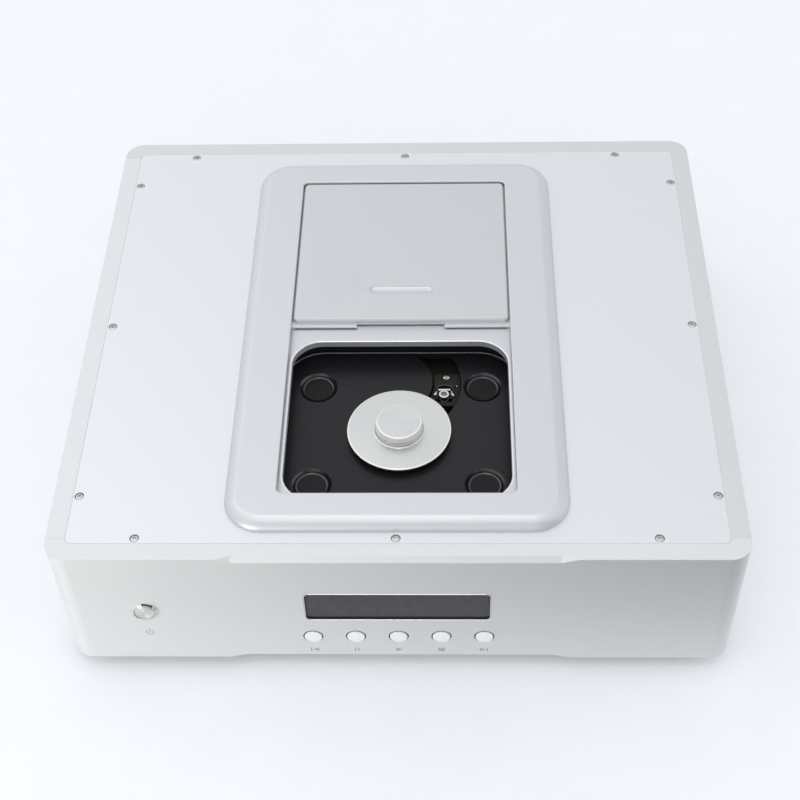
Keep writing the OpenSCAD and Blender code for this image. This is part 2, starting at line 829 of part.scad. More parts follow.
module lid() {
    color("lightgray") difference() {
        translate([0, lid_y, lid_z]) crowned_plate(lid_w, lid_l, lid_r, lid_t, lid_edge);
        translate([0, lid_front + grip_y, lid_z + lid_t - grip_depth])
            linear_extrude(grip_depth + past) pill(grip_w, grip_d);
        at_lid_screws() screw_room(screw_head_d, lid_head_h, screw_d, slider_t - lid_head_h + lid_screw_up);
    }
}

module lid_slider() {
    color("silver") difference() {
        translate([-slider_w / 2, lid_front - lip, slider_z]) cube([slider_w, slider_l, slider_t]);
        translate([-notch_w / 2, lid_front - lip - past, slider_z - past])
            cube([notch_w, lip + past, slider_t + 2 * past]);
        at_lid_screws() screw_room(screw_head_d, lid_head_h, screw_d, slider_t - lid_head_h + lid_screw_up);
    }
}

module lid_screws() {
    color("darkgray") at_lid_screws()
        screw(screw_head_d, lid_head_h, screw_d, slider_t - lid_head_h + lid_screw_up);
}

module lid_glides() {
    color("ivory") for (x = [-1, 1])
        translate([x * (slider_w - glide_w) / 2, lid_front - lip + slider_l / 2, floor_z + glide_t / 2])
            cube([glide_w, slider_l, glide_t], center = true);
}

// Optical switch under the floor plate that tells when the lid is shut
module lid_sensor() {
    color("black") translate([-sensor_w / 2, well_y + well_l / 2 + shroud_over + shroud_t + sensor_gap,
                              track_z - sensor_h])
        cube([sensor_w, sensor_d, sensor_h]);
}

module well_shroud() {
    tall = track_z - deck_low;
    color([0.1, 0.1, 0.1]) translate([0, well_y, deck_low]) difference() {
        plate(well_w + 2 * (shroud_over + shroud_t), well_l + 2 * (shroud_over + shroud_t),
              well_r + shroud_over + shroud_t, tall);
        translate([0, 0, -past])
            plate(well_w + 2 * shroud_over, well_l + 2 * shroud_over, well_r + shroud_over, tall + 2 * past);
    }
}

// Outline of the curved slot in the deck that the pickup's head swings in, about the pivot
module swing_slot() {
    inner = arm_r - head_side[0] - slot_gap;
    outer = arm_r + head_side[1] + slot_gap;
    far = 2 * outer;
    intersection() {
        difference() {
            circle(outer);
            circle(inner);
        }
        translate([0, -far]) square([far, far + slot_reach]);
        rotate(-swing_in) translate([-far, -head_reach[0] - slot_gap]) square(2 * far);
    }
}

module deck_plate() {
    color([0.13, 0.13, 0.13]) difference() {
        translate([0, well_y, deck_low])
            plate(well_w + 2 * deck_over, well_l + 2 * deck_over, well_r + deck_over, deck_t);
        for (p = CUPS) translate([p[0], p[1], 0]) {
            translate([0, 0, deck_z - cup_depth])
                cylinder(d1 = cap_d + 2 * cup_gap, d2 = cup_d, h = cup_depth);
            translate([0, 0, deck_z - run_gap]) cylinder(d = cup_d, h = past);
            translate([0, 0, deck_low - past]) cylinder(d = neck_d + 2 * slip_gap, h = deck_t + past);
        }
        translate([0, well_y, deck_low - past])
            cylinder(d = spindle_d + 2 * spindle_room, h = deck_t + 2 * past);
        translate(pivot_at + [0, 0, deck_low - past]) {
            linear_extrude(deck_t + 2 * past) swing_slot();
            cylinder(d = pivot_d + run_gap, h = past + deck_t / 2);
        }
    }
}

module damper_caps() {
    tall = deck_z - cap_z - cap_sunk;
    color([0.16, 0.16, 0.16]) for (p = CUPS) translate([p[0], p[1], cap_z]) {
        cylinder(d = cap_d, h = tall);
        translate([0, 0, pillar_top - shank_reach - cap_z])
            cylinder(d = shank_d, h = cap_z - pillar_top + shank_reach);
    }
}

module dampers() {
    color([0.05, 0.05, 0.05]) for (p = CUPS) translate([p[0], p[1], pillar_top]) difference() {
        union() {
            cylinder(d = damper_d, h = damper_h);
            cylinder(d = neck_d, h = cap_z - pillar_top);
        }
        translate([0, 0, -past]) cylinder(d = shank_d + 2 * slip_gap, h = cap_z - pillar_top + 2 * past);
    }
}

module deck_pillars() {
    color("gray") for (p = CUPS) translate([p[0], p[1], inside_z]) difference() {
        cylinder(d = pillar_d, h = pillar_top - inside_z);
        translate([0, 0, pillar_top - inside_z - shank_reach - slip_gap])
            cylinder(d = shank_d + 2 * slip_gap, h = shank_reach + slip_gap + past);
    }
}

module spindle_motor() {
    color("gray") translate([0, well_y, motor_z]) difference() {
        cylinder(d = motor_d, h = motor_l);
        translate([0, 0, motor_floor]) cylinder(d = spindle_d + 2 * run_gap, h = motor_l);
    }
}

module spindle_shaft() {
    low = motor_z + motor_floor + run_gap;
    color("silver") translate([0, well_y, low]) cylinder(d = spindle_d, h = seat_z - low);
}

module spindle_hub() {
    cone = 1;
    color("silver") translate([0, well_y, seat_z - hub_t]) difference() {
        union() {
            cylinder(d = hub_d, h = hub_t);
            cylinder(d = nose_d, h = hub_t + nose_h - cone);
            translate([0, 0, hub_t + nose_h - cone]) cylinder(d1 = nose_d, d2 = nose_d - 3 * cone, h = cone);
        }
        translate([0, 0, -past]) cylinder(d = spindle_d, h = hub_t + past);
    }
}

// Half section of the disc clamp: thin flange, fillet, and a boss with a round top and two turned grooves
module clamp_section() {
    edge = 0.8;
    crown = 2;
    fillet = 1.5;
    groove = 0.5;
    r = clamp_d / 2;
    br = boss_d / 2;
    top = clamp_t + boss_h;
    difference() {
        union() {
            square([r - edge, clamp_t]);
            square([r, clamp_t - edge]);
            translate([r - edge, clamp_t - edge]) circle(edge);
            square([br, top - crown]);
            square([br - crown, top]);
            translate([br - crown, top - crown]) circle(crown);
            difference() {
                translate([0, clamp_t - edge]) square([br + fillet, fillet + edge]);
                translate([br + fillet, clamp_t + fillet]) circle(fillet);
            }
        }
        translate([br - groove, clamp_t + boss_h / 2]) square([2 * groove, groove]);
        translate([br - groove, clamp_t + fillet + groove / 2]) square([2 * groove, groove / 2]);
        translate([-past, -past]) square([magnet_d / 2 + slip_gap + past, past + hand_gap + magnet_h]);
    }
}

module disc_clamp() {
    color("gainsboro") translate([0, well_y, clamp_z]) rotate_extrude() intersection() {
        clamp_section();
        square([clamp_d, clamp_t + boss_h]);
    }
}

module clamp_magnet() {
    color("dimgray") translate([0, well_y, clamp_z + hand_gap]) difference() {
        cylinder(d = magnet_d, h = magnet_h);
        translate([0, 0, -past]) cylinder(d = nose_d + 4 * hand_gap, h = magnet_h + 2 * past);
    }
}

// Outline of the pickup's head: a block trimmed to the ring that it swings in
module head_outline() {
    intersection() {
        difference() {
            circle(arm_r + head_side[1]);
            circle(arm_r - head_side[0]);
        }
        translate([0, -head_reach[0]]) square([2 * arm_r, head_reach[0] + head_reach[1]]);
    }
}

module pickup_arm() {
    tail_r = coil_r - 1;
    color([0.08, 0.08, 0.08]) translate(pivot_at) difference() {
        union() {
            translate([0, 0, sleeve_z]) cylinder(d = sleeve_d, h = sleeve_l);
            translate([0, 0, arm_z]) rotate([0, 0, arm_angle]) {
                translate([0, -arm_w / 2, 0]) cube([arm_r, arm_w, arm_t]);
                translate([-tail_r, -coil_w / 2, 0]) cube([tail_r, coil_w, tail_t]);
            }
            translate([0, 0, arm_z]) linear_extrude(head_top - arm_z) head_outline();
        }
        translate([0, 0, sleeve_z - past]) cylinder(d = bearing_d + run_gap, h = sleeve_l + 2 * past);
        translate([lens_at[0], lens_at[1], holder_low - focus_room]) translate([0, 0, deck_drop / 2])
            cube([actuator_pocket[0], actuator_pocket[1], deck_drop], center = true);
    }
}

module pivot_shaft() {
    low = sleeve_z - pivot_tail;
    color("silver") translate(pivot_at + [0, 0, low]) cylinder(d = pivot_d, h = deck_low + deck_t / 2 - low);
}

module pivot_bearings() {
    color("lightsteelblue") translate(pivot_at) for (z = [sleeve_z, sleeve_z + sleeve_l - bearing_t])
        translate([0, 0, z]) difference() {
            cylinder(d = bearing_d, h = bearing_t);
            translate([0, 0, -past]) cylinder(d = pivot_d + 2 * run_gap, h = bearing_t + 2 * past);
        }
}

module pivot_clip() {
    clip_t = 0.8;
    color("dimgray") translate(pivot_at + [0, 0, sleeve_z - clip_t - run_gap]) difference() {
        cylinder(d = bearing_d - 1, h = clip_t);
        translate([0, 0, -past]) cylinder(d = pivot_d + run_gap, h = clip_t + 2 * past);
    }
}

module radial_coil() {
    band = 3;
    inner = sleeve_d / 2 + arm_gap;
    hole = [coil_r - inner - 2 * band, coil_w - 2 * band];
    color("darkgoldenrod") translate(pivot_at + [0, 0, coil_z]) rotate([0, 0, arm_angle]) difference() {
        translate([-coil_r, -coil_w / 2, 0]) cube([coil_r - inner, coil_w, coil_t]);
        translate([-(coil_r + inner) / 2, 0, coil_t / 2])
            cube([hole[0], hole[1], 2 * coil_t], center = true);
    }
}

// Slice of a ring about the pivot, between two radii and two angles
module ring_slice(r0, r1, a0, a1, z, h) {
    translate([0, 0, z]) rotate([0, 0, a0]) rotate_extrude(angle = a1 - a0)
        translate([r0, 0]) square([r1 - r0, h]);
}

module radial_yoke() {
    inner = sleeve_d / 2 + 2 * arm_gap;
    back = coil_r + 2 * arm_gap;
    upper = coil_z + coil_t + yoke_room;
    magnet_top = arm_z - yoke_room;
    color("slategray") translate(pivot_at) {
        ring_slice(inner, back, yoke_reach[0], yoke_reach[1], yoke_low, magnet_top - yoke_low);
        ring_slice(inner, back, yoke_reach[0], yoke_reach[1], upper, yoke_plate);
        ring_slice(back, back + yoke_plate, yoke_reach[0], yoke_reach[1], yoke_low, deck_low - yoke_low);
    }
}

// Steel base of the lens actuator, with an upright at each side of the lens holder
module actuator_yoke() {
    low = holder_low - focus_room;
    floor_h = 0.4;
    step = 1;
    wall_x = holder[0] / 2 + yoke_gap;
    color("silver") translate(pivot_at + [lens_at[0], lens_at[1], 0]) {
        translate([-wall_x - yoke_wall, -holder[1] / 2, low])
            cube([2 * (wall_x + yoke_wall), holder[1], floor_h]);
        for (x = [-wall_x - yoke_wall, wall_x])
            translate([x, -holder[1] / 2 + step, low])
                cube([yoke_wall, holder[1] - 2 * step, holder_top - low]);
    }
}

module lens_holder() {
    wall = 0.8;
    ledge = 0.7;
    color("whitesmoke") translate(pivot_at + [lens_at[0], lens_at[1], 0]) difference() {
        union() {
            translate([-holder[0] / 2, -holder[1] / 2, holder_low])
                cube([holder[0], holder[1], holder_top - holder_low]);
            translate([0, 0, holder_top]) cylinder(d = lens_d + 2 * wall, h = lens_ring_h);
        }
        translate([0, 0, holder_low - past]) cylinder(d = lens_d - 2 * ledge, h = deck_drop);
        translate([0, 0, holder_top - lens_seat]) cylinder(d = lens_d + 2 * run_gap, h = past + lens_ring_h);
    }
}

// Plano-convex lens: a short drum with a domed top
module objective_lens() {
    drum = lens_ring_h + lens_seat;
    dome_r = (lens_d * lens_d / 4 + lens_dome * lens_dome) / (2 * lens_dome);
    color("lightblue") translate(pivot_at + [lens_at[0], lens_at[1], holder_top - lens_seat]) intersection() {
        cylinder(d = lens_d, h = drum + lens_dome);
        translate([0, 0, drum + lens_dome - dome_r]) sphere(dome_r);
    }
}

module servo_board() {
    color("darkgreen") translate([-servo_w / 2, well_y - servo_ahead - servo_d / 2, motor_z - board_t])
        cube([servo_w, servo_d, board_t]);
}

module display_window() {
    inset = gasket_t + slip_gap;
    color([0.2, 0.2, 0.22]) {
        upright(0, front_y + window_recess, window_z, web_t - window_recess)
            rounded_rect(window_w - 2 * inset, window_h - 2 * inset, window_r - gasket_t / 2);
        upright(0, web_y, window_z, window_flange_t)
            rounded_rect(window_w + 2 * window_flange, window_h + 2 * window_flange, window_r);
    }
}

module window_gasket() {
    sunk = 0.6;
    color([0.06, 0.06, 0.06]) upright(0, front_y + sunk, window_z, web_t - sunk) difference() {
        rounded_rect(window_w - slip_gap, window_h - slip_gap, window_r);
        rounded_rect(window_w - 2 * gasket_t, window_h - 2 * gasket_t, window_r - gasket_t / 2);
    }
}

module display_module() {
    back = web_y + window_flange_t;
    color("darkslategray") {
        upright(0, back, window_z, glass_t)
            square([window_w, window_h] + [2, 2] * glass_margin, center = true);
        upright(0, back + glass_t, window_z, board_t)
            square([window_w, window_h] + 2 * display_margin, center = true);
    }
}

module button_board() {
    color("darkgreen") {
        upright(0, key_board_y, button_z, board_t)
            square([2 * key_post_x + key_post_d, key_board_h], center = true);
        for (x = BUTTON_X) upright(x, switch_y, button_z, switch_t) square(switch_w, center = true);
    }
}

// Push button: a cap through the panel, a flange that stops it from behind, and a stem
module push_button(x) {
    color("whitesmoke") {
        rod_y(x, front_y - button_stand, button_z, button_d, button_stand + web_t + flange_t);
        rod_y(x, web_y, button_z, flange_d, flange_t);
        rod_y(x, web_y, button_z, stem_d, flange_t + stem_l);
    }
}

module previous_button() push_button(BUTTON_X[0]);

module pause_button() push_button(BUTTON_X[1]);

module play_button() push_button(BUTTON_X[2]);

module stop_button() push_button(BUTTON_X[3]);

module next_button() push_button(BUTTON_X[4]);

module power_button() {
    color("silver") {
        rod_y(power_at, cap_y, power_z, power_d, cap_t);
        rod_y(power_at, cap_y, power_z, stem_power_d, cap_t + stem_power_l);
    }
}

module power_switch() {
    room = power_travel + hand_gap;
    color("silver") difference() {
        union() {
            rod_y(power_at, front_y - ring_h, power_z, ring_d, ring_h);
            rod_y(power_at, front_y - ring_h, power_z, barrel_d, ring_h + barrel_l);
        }
        rod_y(power_at, cap_y - past - ring_h, power_z, power_d + hand_gap, cap_t + room + past + ring_h);
        rod_y(power_at, cap_y, power_z, stem_power_d + hand_gap, cap_t + stem_power_l + room);
    }
}

module power_switch_nut() {
    color("gray") difference() {
        upright(power_at, -inner_y, power_z, nut_t) circle(d = barrel_d + 2 * nut_wall, $fn = 6);
        rod_y(power_at, -inner_y - past, power_z, barrel_d + run_gap, nut_t + 2 * past);
    }
}

module mains_inlet() {
    face_y = rear_web_y + inlet_flange[2];
    floor_y = face_y - inlet_deep;
    back = 5;
    color([0.1, 0.1, 0.1]) {
        difference() {
            union() {
                upright(inlet_at, rear_web_y, jack_at, inlet_flange[2])
                    square([inlet_flange[0], inlet_flange[1]], center = true);
                upright(inlet_at, floor_y - back, jack_at, inlet_deep + back)
                    square(inlet_body, center = true);
            }
            upright(inlet_at, floor_y, jack_at, inlet_deep + past) square(inlet_hole, center = true);
        }
        for (p = INLET_PINS)
            upright(inlet_at + p[0], floor_y - back / 2, jack_at + p[1], back / 2 + inlet_pin_l)
                square(inlet_pin, center = true);
    }
}

module coax_jack() {
    face_y = rear_web_y + coax_base;
    color("gold") difference() {
        union() {
            upright(coax_at, rear_web_y, jack_at, coax_base) circle(r = coax_r + coax_hex, $fn = 6);
            rod_y(coax_at, inner_y - coax_tail, jack_at, 2 * coax_r,
                  face_y + coax_stand - inner_y + coax_tail);
        }
        rod_y(coax_at, face_y, jack_at, coax_bore, coax_stand + past);
    }
}

module aes_jack() {
    face_y = rear_web_y + aes_flange[2];
    floor_y = face_y - aes_deep;
    back = 6;
    pin_l = 10;
    pin_d = 2.4;
    pin_r = 4.7;
    color("dimgray") {
        difference() {
            union() {
                upright(aes_at, rear_web_y, jack_at, aes_flange[2])
                    square([aes_flange[0], aes_flange[1]], center = true);
                rod_y(aes_at, floor_y - back, jack_at, 2 * aes_shell_r, aes_deep + back);
            }
            rod_y(aes_at, floor_y, jack_at, 2 * aes_hole_r, aes_deep + past);
        }
        for (a = [30, 150, 270])
            rod_y(aes_at + pin_r * cos(a), floor_y - back / 2, jack_at + pin_r * sin(a),
                  pin_d, back / 2 + pin_l);
    }
}

module main_board() {
    chips = [[-40, 20, 28], [10, -20, 20], [45, 30, 14]];
    chip_t = 2;
    color("darkgreen") translate([main_board_at[0], main_board_at[1], board_z]) {
        translate([-main_board_size[0] / 2, -main_board_size[1] / 2, 0])
            cube([main_board_size[0], main_board_size[1], board_t]);
        for (c = chips) translate([c[0] - c[2] / 2, c[1] - c[2] / 2, board_t]) cube([c[2], c[2], chip_t]);
    }
}

module board_standoffs() {
    color("gold") for (p = STANDOFFS) translate([p[0], p[1], inside_z])
        cylinder(d = standoff_d, h = standoff_h, $fn = 6);
}

module supply_board() {
    can_d = 22;
    can_h = 34;
    can_step = [16, 18];
    color("darkgreen") translate([supply_at[0], supply_at[1], board_z]) {
        translate([-supply_size[0] / 2, -supply_size[1] / 2, 0])
            cube([supply_size[0], supply_size[1], board_t]);
        for (x = [-1, 1], y = [-1, 1])
            translate([x * can_step[0], y * can_step[1], board_t]) cylinder(d = can_d, h = can_h);
    }
}

module power_transformer() {
    band = (toroid_d - toroid_hole) / 2;
    soft = 10;
    color("darkorange") translate([toroid_at[0], toroid_at[1], inside_z]) rotate_extrude()
        translate([toroid_hole / 2 + band / 2, toroid_h / 2]) rounded_rect(band, toroid_h, soft);
}

module transformer_clamp() {
    dish_d = toroid_d - 2 * toroid_rim;
    dish_t = 2;
    head_h = 4;
    color("silver") translate([toroid_at[0], toroid_at[1], 0]) {
        translate([0, 0, inside_z + toroid_h]) cylinder(d = dish_d, h = dish_t);
        translate([0, 0, base_z]) cylinder(d = shank_d, h = base_t + toroid_h + dish_t);
        translate([0, 0, inside_z + toroid_h + dish_t]) cylinder(d = 2 * shank_d, h = head_h, $fn = 6);
    }
}

front_panel();
rear_panel();
left_side_panel();
right_side_panel();
base_plate();
top_cover();
corner_brackets();
cover_screws();
base_screws();
feet();
foot_pads();
foot_screws();
lid_bezel();
track_plate();
bezel_screws();
lid();
lid_slider();
lid_screws();
lid_glides();
lid_sensor();
well_shroud();
deck_plate();
damper_caps();
dampers();
deck_pillars();
spindle_motor();
spindle_shaft();
spindle_hub();
disc_clamp();
clamp_magnet();
pickup_arm();
pivot_shaft();
pivot_bearings();
pivot_clip();
radial_coil();
radial_yoke();
actuator_yoke();
lens_holder();
objective_lens();
servo_board();
display_window();
window_gasket();
display_module();
button_board();
previous_button();
pause_button();
play_button();
stop_button();
next_button();
power_button();
power_switch();
power_switch_nut();
mains_inlet();
coax_jack();
aes_jack();
main_board();
board_standoffs();
supply_board();
power_transformer();
transformer_clamp();
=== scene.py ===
"""Looks of a top-loading compact disc transport, built round its solids, in metres."""
import math
from types import SimpleNamespace

import bpy
import numpy as np
from mathutils import Matrix, Vector


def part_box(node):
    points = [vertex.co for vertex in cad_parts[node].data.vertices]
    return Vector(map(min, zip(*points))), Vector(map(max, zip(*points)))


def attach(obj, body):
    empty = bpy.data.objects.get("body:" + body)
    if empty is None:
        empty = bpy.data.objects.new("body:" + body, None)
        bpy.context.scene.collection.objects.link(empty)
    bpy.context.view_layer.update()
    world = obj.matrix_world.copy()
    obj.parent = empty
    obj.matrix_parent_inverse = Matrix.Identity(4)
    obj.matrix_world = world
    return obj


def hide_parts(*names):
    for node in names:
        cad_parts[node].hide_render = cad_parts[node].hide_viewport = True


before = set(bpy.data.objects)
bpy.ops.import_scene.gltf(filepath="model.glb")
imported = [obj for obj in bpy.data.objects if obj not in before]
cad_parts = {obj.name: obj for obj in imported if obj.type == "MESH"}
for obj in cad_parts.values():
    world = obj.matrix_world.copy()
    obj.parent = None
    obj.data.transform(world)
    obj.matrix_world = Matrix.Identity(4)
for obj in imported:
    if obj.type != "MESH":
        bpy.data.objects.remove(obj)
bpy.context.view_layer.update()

# Base plate
# A 3 mm steel sheet, stamped and powder coated black, screwed up into the rails of the panels.
# Powder coat melts into a fine orange peel that breaks up its dull gloss.
MM = 0.001


def linear(hex_colour):
    """sRGB hex to linear: a channel c is c / 12.92 up to 0.04045, and else ((c + 0.055) / 1.055) ** 2.4."""
    srgb = np.array([int(hex_colour[i:i + 2], 16) for i in (1, 3, 5)]) / 255
    rgb = np.where(srgb <= 0.04045, srgb / 12.92, ((srgb + 0.055) / 1.055) ** 2.4)
    return (*rgb.tolist(), 1.0)


def add_node(tree, kind, values=None, links=None, **settings):
    """Adds a shader node with its own settings, the values on its sockets, and links into its sockets."""
    node = tree.nodes.new("ShaderNode" + kind)
    for name, value in settings.items():
        setattr(node, name, value)
    for socket, value in (values or {}).items():
        node.inputs[socket].default_value = value
    for socket, source in (links or {}).items():
        tree.links.new(source, node.inputs[socket])
    return node


def finish(name, colour, metallic, roughness, grain_mm, colours, roughs, bump_mm,
           stretch=(1, 1, 1), edge_mm=0.0, **sockets):
    """A material with one Principled shader, whose constant values sit on its own sockets. One noise, with
    grains of the given size, runs the colour and the roughness between two values and lifts the surface by
    bump_mm; edge_mm softens the light on sharp edges."""
    material = bpy.data.materials.new(name)
    material.use_nodes = True
    tree = material.node_tree
    shader = tree.nodes["Principled BSDF"]
    sockets |= {"Base Color": linear(colour), "Metallic": metallic, "Roughness": roughness}
    for socket, value in sockets.items():
        shader.inputs[socket.replace("_", " ")].default_value = value
    placed = add_node(tree, "Mapping", {"Scale": stretch},
                      {"Vector": add_node(tree, "TexCoord").outputs["Object"]})
    noise = add_node(tree, "TexNoise", {"Scale": 1 / (grain_mm * MM), "Detail": 3.0, "Roughness": 0.6},
                     {"Vector": placed.outputs["Vector"]})
    spread = add_node(tree, "MapRange", {"From Min": 0.3, "From Max": 0.7}, {"Value": noise.outputs["Fac"]})
    tint = add_node(tree, "Mix", {6: linear(colours[0]), 7: linear(colours[1])},
                    {0: spread.outputs["Result"]}, data_type="RGBA")
    gloss = add_node(tree, "MapRange", {"To Min": roughs[0], "To Max": roughs[1]},
                     {"Value": spread.outputs["Result"]})
    bump = add_node(tree, "Bump", {"Strength": 1.0, "Distance": bump_mm * MM}, {"Height": noise.outputs["Fac"]})
    if edge_mm:
        edge = add_node(tree, "Bevel", {"Radius": edge_mm * MM}, samples=6)
        tree.links.new(edge.outputs["Normal"], bump.inputs["Normal"])
    tree.links.new(tint.outputs[2], shader.inputs["Base Color"])
    tree.links.new(gloss.outputs["Result"], shader.inputs["Roughness"])
    tree.links.new(bump.outputs["Normal"], shader.inputs["Normal"])
    return material


def dress(material, *nodes):
    """Gives solids that keep their own shape a finished material."""
    for name in nodes:
        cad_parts[name].material_slots[0].material = material


# Powder coat: polyester melted on steel, a dull black with an orange peel of about a millimetre
dress(finish("black_powder_coat", "#2C2C2E", 0.0, 0.5,
             1.1, ("#262628", "#323234"), (0.42, 0.58), 0.03), "base_plate")

# Base screws and foot screws
# Socket screws of steel, zinc plated: a grey metal with a soft, slightly blotchy shine. They hold the
# base to the rails and the feet to the base; the frame's and the lid's hidden screws are of the same kind.
zinc_plate = finish("zinc_plated_steel", "#A6A6A8", 1.0, 0.35,
                    0.8, ("#98989A", "#B4B4B6"), (0.28, 0.42), 0.004)
dress(zinc_plate, "base_screws", "foot_screws", "bezel_screws", "lid_screws")

# Feet
# Discs turned from aluminium bar, with a chamfered lower edge and one decorative groove,
# clear anodised. A ribbed rubber pad is pressed into the recess below each one.
TURN_STEPS = 96
CORE_R = 1
SHARP_DEGREES = 35


def arc(centre, radius, start, end, steps):
    """Points of an arc: the centre plus radius times (cos a, sin a), a in degrees; an ellipse has two radii."""
    angle = np.radians(np.linspace(start, end, steps))
    return np.array(centre[:2]) + radius * np.stack([np.cos(angle), np.sin(angle)], 1)


def turn(profile, steps=TURN_STEPS):
    """Surface of revolution: profile point (r, z) at turn t becomes (r cos t, r sin t, z), in millimetres."""
    profile = np.vstack(profile)
    turns = np.linspace(0, 2 * np.pi, steps, endpoint=False)
    r, z = profile[:, :1], profile[:, 1:]
    return np.stack([r * np.cos(turns), r * np.sin(turns), z + 0 * turns], 2)


def skin(name, blocks, material, body, slot, *nodes, loop=False):
    """Mesh over blocks of closed rings, in millimetres. Point j of ring i joins point j + 1 and the same two of
    ring i + 1. The end rings are closed by a face each, or with loop the last ring joins the first. The piece
    moves with a body, takes the given material and stands for the solids it redraws. The slot argument is not
    used."""
    points, faces, start = [], [], 0
    for block in blocks:
        rows, count = block.shape[:2]
        index = start + np.arange(rows * count).reshape(rows, count)
        above = np.roll(index, -1, 0) if loop else index[1:]
        here = index if loop else index[:-1]
        quads = np.stack([here, np.roll(here, -1, 1), np.roll(above, -1, 1), above], 2).reshape(-1, 4)
        faces += quads.tolist()
        if not loop:
            faces += [index[0, ::-1].tolist(), index[-1].tolist()]
        points.append(block.reshape(-1, 3))
        start += rows * count
    mesh = bpy.data.meshes.new(name)
    mesh.from_pydata(np.vstack(points) * MM, [], faces)
    mesh.polygons.foreach_set("use_smooth", np.ones(len(faces), bool))
    mesh.set_sharp_from_angle(angle=math.radians(SHARP_DEGREES))
    mesh.materials.append(material)
    mesh.update()
    piece = bpy.data.objects.new(name, mesh)
    piece.modifiers.new("even_light", "WEIGHTED_NORMAL").keep_sharp = True
    bpy.context.scene.collection.objects.link(piece)
    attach(piece, body)
    if nodes:
        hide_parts(*nodes)


def box_mm(node):
    """Lowest and highest corner, middle and size of a solid, in millimetres."""
    low, high = (np.array(corner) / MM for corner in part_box(node))
    return SimpleNamespace(low=low, high=high, mid=(low + high) / 2, size=high - low)


def corner_points(box, inset, z=0.0):
    """Points at height z near the four corners of a box, set in by a length on both sides."""
    return [np.array([x, y, z]) for x in (box.low[0] + inset, box.high[0] - inset)
            for y in (box.low[1] + inset, box.high[1] - inset)]


# Turned aluminium: fine tool marks round the axis, clear anodised to a pale silky grey
feet_finish = finish("turned_aluminium", "#C9CBCD", 1.0, 0.34,
                     0.5, ("#C2C4C6", "#D0D2D4"), (0.28, 0.4), 0.006, stretch=(0.2, 0.2, 1))
# Moulded rubber: black, dull, with a faint bloom
rubber = finish("moulded_rubber", "#1E1E1F", 0.0, 0.75, 0.6, ("#19191A", "#262627"), (0.65, 0.85), 0.02)
feet = box_mm("feet")
foot_low, foot_top = feet.low[2], feet.high[2]
pad_top = box_mm("foot_pads").high[2]
foot_r = 22
foot_chamfer = 1.2
foot_groove = 0.7
foot_groove_z = foot_low + 3.2
foot_edge = 0.4
pad_r = 17
pad_room = 0.1
foot_profile = [
    [(CORE_R, pad_top), (pad_r + pad_room, pad_top), (pad_r + pad_room, foot_low)],
    [(foot_r - foot_chamfer, foot_low), (foot_r, foot_low + foot_chamfer)],
    [(foot_r, foot_groove_z - foot_groove), (foot_r - foot_groove, foot_groove_z),
     (foot_r, foot_groove_z + foot_groove)],
    [(foot_r, foot_top - foot_edge), (foot_r - foot_edge, foot_top), (CORE_R, foot_top)],
]
rib_h = 0.8
rib_foot, rib_crest = 0.6, 0.3
rib_first, rib_pitch = 4, 3.0
pad_core = 2
pad_edge = 0.4
rib_r = np.arange(rib_first, pad_r - 1, rib_pitch)[:, None] + [-rib_foot, -rib_crest, rib_crest, rib_foot]
rib_z = np.broadcast_to([0, rib_h, rib_h, 0], rib_r.shape)
pad_profile = [
    [(pad_core, 0)],
    np.stack([rib_r, rib_z], 2).reshape(-1, 2),
    [(pad_r - pad_edge, 0), (pad_r, pad_edge), (pad_r, pad_top), (CORE_R, pad_top)],
]
foot_points = corner_points(feet, foot_r)
skin("turned_feet", [turn(foot_profile) + p for p in foot_points], feet_finish,
     "chassis", "turned_aluminium", "feet")
skin("ribbed_foot_pads", [turn(pad_profile) + p for p in foot_points], rubber,
     "chassis", "rubber", "foot_pads")

# Front, rear and side panels
# Four 12 mm aluminium plates, milled, bead blasted and clear anodised, so they scatter light evenly
# and look pale grey. They meet just inside the round corners, on brackets that don't show.
panel_finish = finish("bead_blasted_aluminium", "#E7E9E8", 1.0, 0.62,
                      0.9, ("#E5E7E6", "#E9EBEA"), (0.58, 0.66), 0.006, edge_mm=0.5)
dress(panel_finish, "front_panel", "left_side_panel")
# The rear and right plates take a shade darker copy of the same finish: painted shade, as less light falls on
# them
dress(finish("bead_blasted_aluminium_painted_shade", "#E0E2E1", 1.0, 0.62,
             0.9, ("#DEE0DF", "#E2E4E3"), (0.58, 0.66), 0.006, edge_mm=0.5), "rear_panel", "right_side_panel")
# Mill-finish aluminium: extruded and left as it comes, a grey streaked along its length
dress(finish("mill_finish_aluminium", "#B4B6B8", 1.0, 0.45,
             1.5, ("#A8AAAC", "#C0C2C4"), (0.38, 0.52), 0.01, stretch=(1, 1, 0.1)),
      "corner_brackets", "deck_pillars")

# Top cover
# A 4 mm aluminium plate let into the panels, with the finest blast of all and clear anodised,
# so that it is nearly white with a cool cast. Twelve screws hold it down, and a thin seam runs round it.
CORNER_STEPS = 14


def outline(size, radius, centre=(0, 0)):
    """Rectangle with round corners as one ring: at each corner a quarter circle, anticlockwise."""
    signs = np.array([[1, 1], [-1, 1], [-1, -1], [1, -1]])
    corners = signs * (np.array(size[:2]) / 2 - radius)
    turns = np.linspace(0, np.pi / 2, CORNER_STEPS) + np.pi / 2 * np.arange(4)[:, None]
    ring = corners[:, None] + radius * np.stack([np.cos(turns), np.sin(turns)], 2)
    return ring.reshape(-1, 2) + np.array(centre[:2])


def raised(ring, z):
    """Lays a ring at height z."""
    return np.column_stack([ring, np.full(len(ring), z)])


def rings(size, radius, centre, steps):
    """Rings of one round-cornered rectangle: a step (grow, z) moves its sides out by grow, at height z."""
    return np.stack([raised(outline(np.array(size[:2]) + 2 * grow, radius + grow, centre), z)
                     for grow, z in steps])


